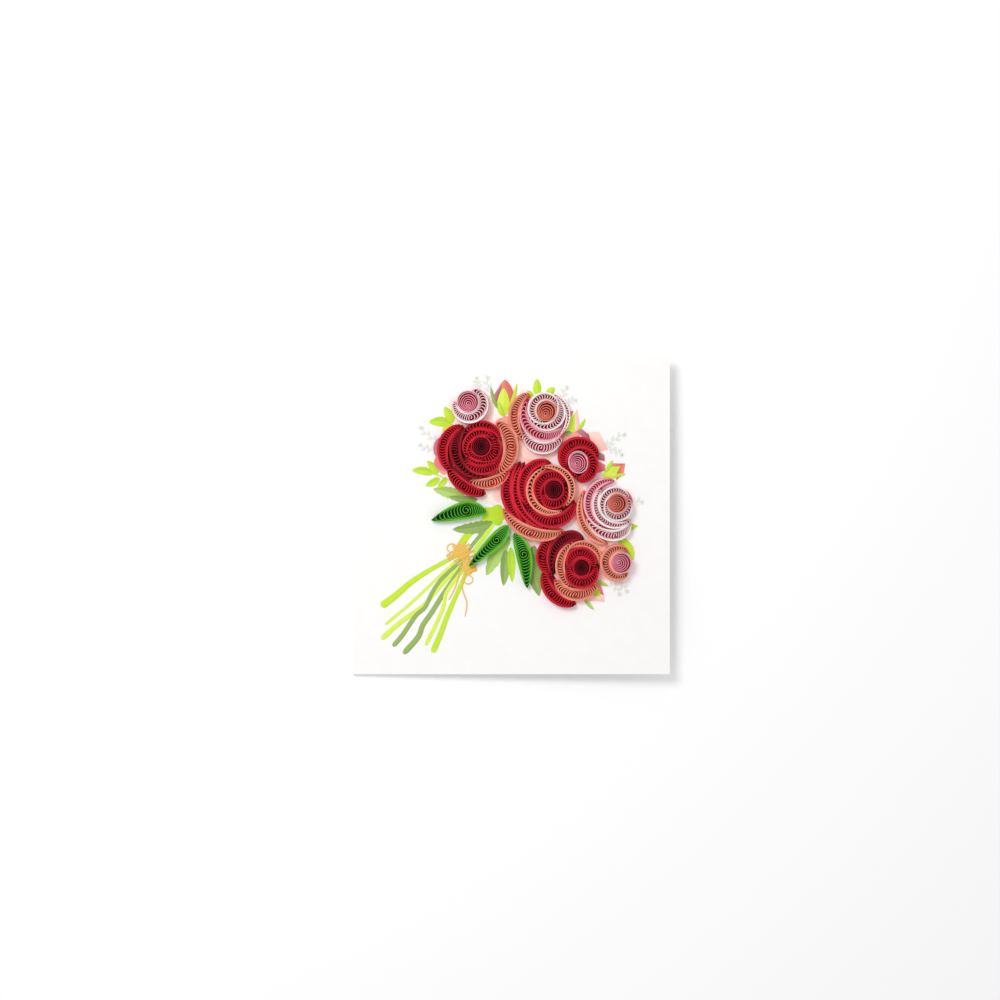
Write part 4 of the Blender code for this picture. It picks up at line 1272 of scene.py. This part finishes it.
class PaleBlooms(bpy.types.Operator):
    """Prints the pale roses that show behind the quilled ones."""

    bl_idname = "quilled_card.pale_blooms"
    bl_label = "Pale blooms"

    def execute(self, context):
        """Each bloom is a lobed disc."""
        for index, (ink, *bloom) in enumerate(PALE_BLOOMS):
            material = ink_material("bloom", ink, bloom_paint)
            name = f"pale_bloom_{index:02}"
            print_piece(context, name, BLOOM_LEVEL + index, material, add_bloom, *bloom)
        return {"FINISHED"}


class Sprigs(bpy.types.Operator):
    """Prints the pale grey sprigs that stand out of the bouquet."""

    bl_idname = "quilled_card.sprigs"
    bl_label = "Grey sprigs"

    def execute(self, context):
        """A stalk bows from base to tip, with leaflets at equal steps to its two sides in turn."""
        twigs, sheet = Sheet(), Sheet()
        for base, tip in SPRIGS:
            base, tip = np.array(base), np.array(tip)
            run = tip - base
            side = np.array([-run[1], run[0]]) / np.linalg.norm(run)
            route = (base, (base + tip) / 2 + side * STALK_BOW, tip)
            add_ribbon(twigs, route, *STALK_WIDTHS, STALK_STATIONS)
            for step in range(1, LEAFLETS + 1):
                stem = base + run * step / (LEAFLETS + 1) + side * LEAFLET_BASE
                reach = LEAFLET_REACH if step % 2 else -LEAFLET_REACH
                out = stem + run * LEAFLET_SLANT + side * reach
                leaflet = Leaf(tuple(out), tuple(stem), 0.0, LEAFLET_HALF, *LEAFLET_FORM)
                add_leaf(sheet, leaflet, *LEAFLET_GRID)
            out, stem = tip + run * LAST_PAST, tip - run * LAST_BEFORE
            leaflet = Leaf(tuple(out), tuple(stem), 0.0, LAST_HALF, *LEAFLET_FORM)
            add_leaf(sheet, leaflet, *LEAFLET_GRID)
        grey = ink_material("sprig", "sprig_grey", plain_paint)
        twigs.piece(context, "sprig_stalks", SPRIG_LEVEL, grey)
        sheet.piece(context, "sprig_leaflets", SPRIG_LEVEL + 1, grey)
        return {"FINISHED"}


class Stems(bpy.types.Operator):
    """Prints the stems, above and below the tie, and the lime patch where they meet."""

    bl_idname = "quilled_card.stems"
    bl_label = "Stems"

    def execute(self, context):
        """Each stem is a ribbon that changes evenly from one width to the other."""
        for index, (ink, width, end_width, route) in enumerate(STEMS):
            material = ink_material("stem", ink, stem_paint)
            shape = (route, width, end_width, LINE_STATIONS)
            print_piece(context, f"stem_{index:02}", STEM_LEVEL + index, material, add_ribbon, *shape)
        material = ink_material("heart", "lime", plain_paint)
        print_piece(context, "lime_heart", HEART_LEVEL, material, add_bloom, *LIME_HEART)
        return {"FINISHED"}


class FlatLeaves(bpy.types.Operator):
    """Prints the flat leaves and the two leafy twigs."""

    bl_idname = "quilled_card.flat_leaves"
    bl_label = "Flat leaves"

    def execute(self, context):
        """The broad leaves take more rows, for their teeth."""
        sheet = Sheet()
        for route in TWIGS:
            add_ribbon(sheet, route, *TWIG_WIDTHS, TWIG_STATIONS)
        sheet.piece(context, "twigs", TWIG_LEVEL, ink_material("stem", "lime", stem_paint))
        for index, (ink, leaf) in enumerate(FLAT_LEAVES):
            shape = (leaf, *TOOTHED_GRID, TOOTH) if leaf.half_width > BROAD_LEAF else (leaf,)
            material = ink_material("leaf", ink, leaf_paint)
            print_piece(context, f"flat_leaf_{index:02}", LEAF_LEVEL + index, material, add_leaf, *shape)
        return {"FINISHED"}


class Buds(bpy.types.Operator):
    """Prints the closed buds with their sepals."""

    bl_idname = "quilled_card.buds"
    bl_label = "Buds"

    def execute(self, context):
        """The green ones are sepals, painted like leaves."""
        for index, (ink, shape) in enumerate(BUDS):
            paint = leaf_paint if "lime" in ink or ink == "olive" else bud_paint
            kind = "sepal" if paint is leaf_paint else "bud"
            place = (context, f"{kind}_{index:02}", BUD_LEVEL + index, ink_material(kind, ink, paint))
            if isinstance(shape, Leaf):
                print_piece(*place, add_leaf, shape, *BUD_GRID)
            else:
                print_piece(*place, add_facet, shape)
        return {"FINISHED"}


class Twine(bpy.types.Operator):
    """Prints the twine: its wraps, two loops and two tails."""

    bl_idname = "quilled_card.twine"
    bl_label = "Printed twine"

    def execute(self, context):
        """Tails, loops and strands are ribbons in one piece, over a lobed disc for each patch."""
        sheet = Sheet()
        for route in TWINE_TAILS:
            add_ribbon(sheet, route, *TAIL_WIDTHS, LINE_STATIONS, TAIL_TWIST)
        for middle, radius in TWINE_LOOPS:
            turn = np.linspace(0, math.tau, LOOP_PLACES)
            oval = np.stack([np.cos(turn), np.sin(turn) * LOOP_FLATNESS], -1)
            ring = np.array(middle) + oval * radius
            add_ribbon(sheet, ring, *LOOP_WIDTHS, LINE_STATIONS, TAIL_TWIST)
        for route in TWINE_STRANDS:
            add_ribbon(sheet, route, *STRAND_WIDTHS, STRAND_STATIONS, STRAND_TWIST)
        sheet.piece(context, "printed_twine", TWINE_LEVEL + 2, ink_material("twine", "ochre", twine_paint))
        for index, patch in enumerate(TWINE_PATCHES):
            material = ink_material("wrap", "ochre", plain_paint)
            shape = (*patch, *PATCH_LOBES)
            print_piece(context, f"twine_patch_{index}", TWINE_LEVEL + index, material, add_bloom, *shape)
        return {"FINISHED"}


class QuilledRoses(bpy.types.Operator):
    """Winds the roses and buds: a coil with pinched and bent petals round it."""

    bl_idname = "quilled_card.roses"
    bl_label = "Quilled roses"

    def execute(self, context):
        """Each strip has its own seeds. A petal whose crown is near the middle takes a wider strip."""
        quill = context.scene.quilled_card.quill
        for rose_number, (name, rose) in enumerate(ROSES.items()):
            coil = coil_route(rose, quill, COIL_SEED + rose_number)
            size = (quill.coil_height, COIL_STRIP_SEED + rose_number, quill.coil_paper, 0.0)
            quilled_piece(context, name + "_coil", rose.coil_paper, coil, *size)
            for petal_number, petal in enumerate(rose.petals, 1):
                seed = SEEDS_TO_A_ROSE * rose_number + petal_number
                route = pinched_route(CrescentShape(rose.middle, petal, quill.swell), quill, seed)
                inner = petal.crown * MM < quill.inner_reach
                height = quill.inner_height if inner else quill.outer_height
                node = f"{name}_petal_{petal_number}"
                size = (height, PETAL_STRIP_SEED + seed, quill.crossing_paper, quill.lean)
                quilled_piece(context, node, petal.paper, route, *size)
        return {"FINISHED"}


class QuilledLeaves(bpy.types.Operator):
    """Winds the three green leaves."""

    bl_idname = "quilled_card.leaves"
    bl_label = "Quilled leaves"

    def execute(self, context):
        """A leaf is wound as a petal is, between its tip and its base."""
        quill = context.scene.quilled_card.quill
        for index, (node, leaf) in enumerate(QUILLED_LEAVES.items()):
            route = pinched_route(LeafShape(leaf), quill, LEAF_SEED + index)
            size = (quill.outer_height, LEAF_STRIP_SEED + index, quill.crossing_paper, quill.lean)
            quilled_piece(context, node, "leaf_green", route, *size)
        return {"FINISHED"}


# The floor's width, how far it lies under the card, and how much it glows to the camera, so that it
# shows as white and still takes the card's shadow
FLOOR_SPAN = 6
FLOOR_DROP = 0.2 * MM
FLOOR_GLOW = 0.06

# The lamp's width, direction and distance, in metres, and the nearest that the camera sees
LAMP_WIDTH = 0.45
LAMP_TOWARDS = (-0.42, 0.42, 0.8)
LAMP_DISTANCE = 1.0
NEAREST_SEEN = 0.01

WHITE = (1, 1, 1, 1)


class Stage(bpy.types.Operator):
    """Sets the white floor and surround, the soft lamp and the camera over the card."""

    bl_idname = "quilled_card.stage"
    bl_label = "Stage"

    def execute(self, context):
        """Floor, light and camera, with colours shown as they are written."""
        stage = context.scene.quilled_card.stage
        self.add_floor()
        self.add_lights(context, stage)
        self.add_camera(context, stage)
        context.scene.view_settings.view_transform = "Standard"
        return {"FINISHED"}

    def add_floor(self):
        """Matt white paper: a flat grid whose glow is seen by the camera and lights nothing."""
        material, tree, shader = new_material("White paper sweep", 0.9, 0.1)
        shader.inputs["Base Color"].default_value = rgba("#FDFDFD")
        rays = add_node(tree, "ShaderNodeLightPath")
        seen = maths(tree, "MAXIMUM", rays.outputs["Is Camera Ray"], rays.outputs["Is Glossy Ray"])
        glow = add_node(tree, "ShaderNodeEmission", {"Color": WHITE, "Strength": FLOOR_GLOW})
        both = add_node(tree, "ShaderNodeAddShader", {0: shader.outputs[0], 1: glow.outputs[0]})
        mix = {0: seen, 1: shader.outputs[0], 2: both.outputs[0]}
        mixed = add_node(tree, "ShaderNodeMixShader", mix)
        tree.links.new(mixed.outputs[0], tree.nodes["Material Output"].inputs["Surface"])
        u, v = share_grid(9, 9)
        level = np.full_like(u, -FLOOR_DROP)
        points = np.stack([(u - 0.5) * FLOOR_SPAN, (v - 0.5) * FLOOR_SPAN, level], -1).reshape(-1, 3)
        new_piece("white_floor", points, grid_faces(9, 9), material)

    def add_lights(self, context, stage):
        """A white surround, and a wide lamp above and to the left of the card.

        A disc lamp lights a sheet square to it by its power over pi squared times its distance squared.
        """
        world = bpy.data.worlds.new("White surround")
        world.use_nodes = True
        tree = world.node_tree
        ground = tree.nodes["Background"]
        ground.inputs["Color"].default_value = WHITE
        ground.inputs["Strength"].default_value = stage.world
        seen = add_node(tree, "ShaderNodeBackground", {"Color": WHITE, "Strength": 1.0})
        rays = add_node(tree, "ShaderNodeLightPath")
        mix = {0: rays.outputs["Is Camera Ray"], 1: ground.outputs[0], 2: seen.outputs[0]}
        mixed = add_node(tree, "ShaderNodeMixShader", mix)
        tree.links.new(mixed.outputs[0], tree.nodes["World Output"].inputs["Surface"])
        context.scene.world = world
        data = bpy.data.lights.new("Soft lamp", "AREA")
        data.shape = "DISK"
        data.size = LAMP_WIDTH
        data.energy = stage.lamp * math.pi**2 * LAMP_DISTANCE**2
        lamp = bpy.data.objects.new("Soft lamp", data)
        lamp.location = Vector(LAMP_TOWARDS).normalized() * LAMP_DISTANCE
        lamp.rotation_euler = (-lamp.location).to_track_quat("-Z", "Y").to_euler()
        context.scene.collection.objects.link(lamp)

    def add_camera(self, context, stage):
        """A camera square to the front panel, at the distance where the lens frames the set width."""
        data = bpy.data.cameras.new("Camera")
        data.lens = stage.lens
        distance = stage.framed * data.lens / data.sensor_width
        aim = Vector(on_card(context, -stage.off_right, stage.off_down, 0.0))
        spring = context.scene.quilled_card.card.spring
        out = Vector((-math.sin(spring), 0, math.cos(spring)))
        camera = bpy.data.objects.new("Camera", data)
        camera.location = aim + out * distance
        camera.rotation_euler = (0, -spring, 0)
        data.clip_start = NEAREST_SEEN
        context.scene.collection.objects.link(camera)
        context.scene.camera = camera


OPERATORS = (
    FoldedCard,
    PaleBlooms,
    PaintedShadeBeds,
    Sprigs,
    Stems,
    FlatLeaves,
    Buds,
    Twine,
    QuilledRoses,
    QuilledLeaves,
    Stage,
)

SETTINGS = (CardSettings, QuillSettings, PrintSettings, StageSettings, QuilledCard)


class QuilledCardPanel(bpy.types.Panel):
    """Lists the pieces and their sizes."""

    bl_idname = "VIEW3D_PT_quilled_card"
    bl_label = "Quilled card"
    bl_space_type = "VIEW_3D"
    bl_region_type = "UI"
    bl_category = "Quilled card"

    def draw(self, context):
        """Draws a box of settings for each group, and a button for each operator."""
        settings = context.scene.quilled_card
        for group in (settings.card, settings.quill, settings.ink, settings.stage):
            box = self.layout.box()
            for key in group.bl_rna.properties.keys():
                if key not in ("rna_type", "name"):
                    box.prop(group, key)
        for operator in OPERATORS:
            self.layout.operator(operator.bl_idname)


def register():
    """Registers the settings, the operators and the panel."""
    for made in (*SETTINGS, *OPERATORS, QuilledCardPanel):
        bpy.utils.register_class(made)
    bpy.types.Scene.quilled_card = bpy.props.PointerProperty(type=QuilledCard)


def unregister():
    """Takes them out again, the last first."""
    del bpy.types.Scene.quilled_card
    for made in (QuilledCardPanel, *OPERATORS[::-1], *SETTINGS[::-1]):
        bpy.utils.unregister_class(made)


def main():
    """Builds the pieces in order."""
    register()
    bpy.ops.quilled_card.folded_card()
    bpy.ops.quilled_card.pale_blooms()
    bpy.ops.quilled_card.rose_beds()
    bpy.ops.quilled_card.sprigs()
    bpy.ops.quilled_card.stems()
    bpy.ops.quilled_card.flat_leaves()
    bpy.ops.quilled_card.buds()
    bpy.ops.quilled_card.twine()
    bpy.ops.quilled_card.roses()
    bpy.ops.quilled_card.leaves()
    bpy.ops.quilled_card.stage()


if __name__ == "__main__":
    main()
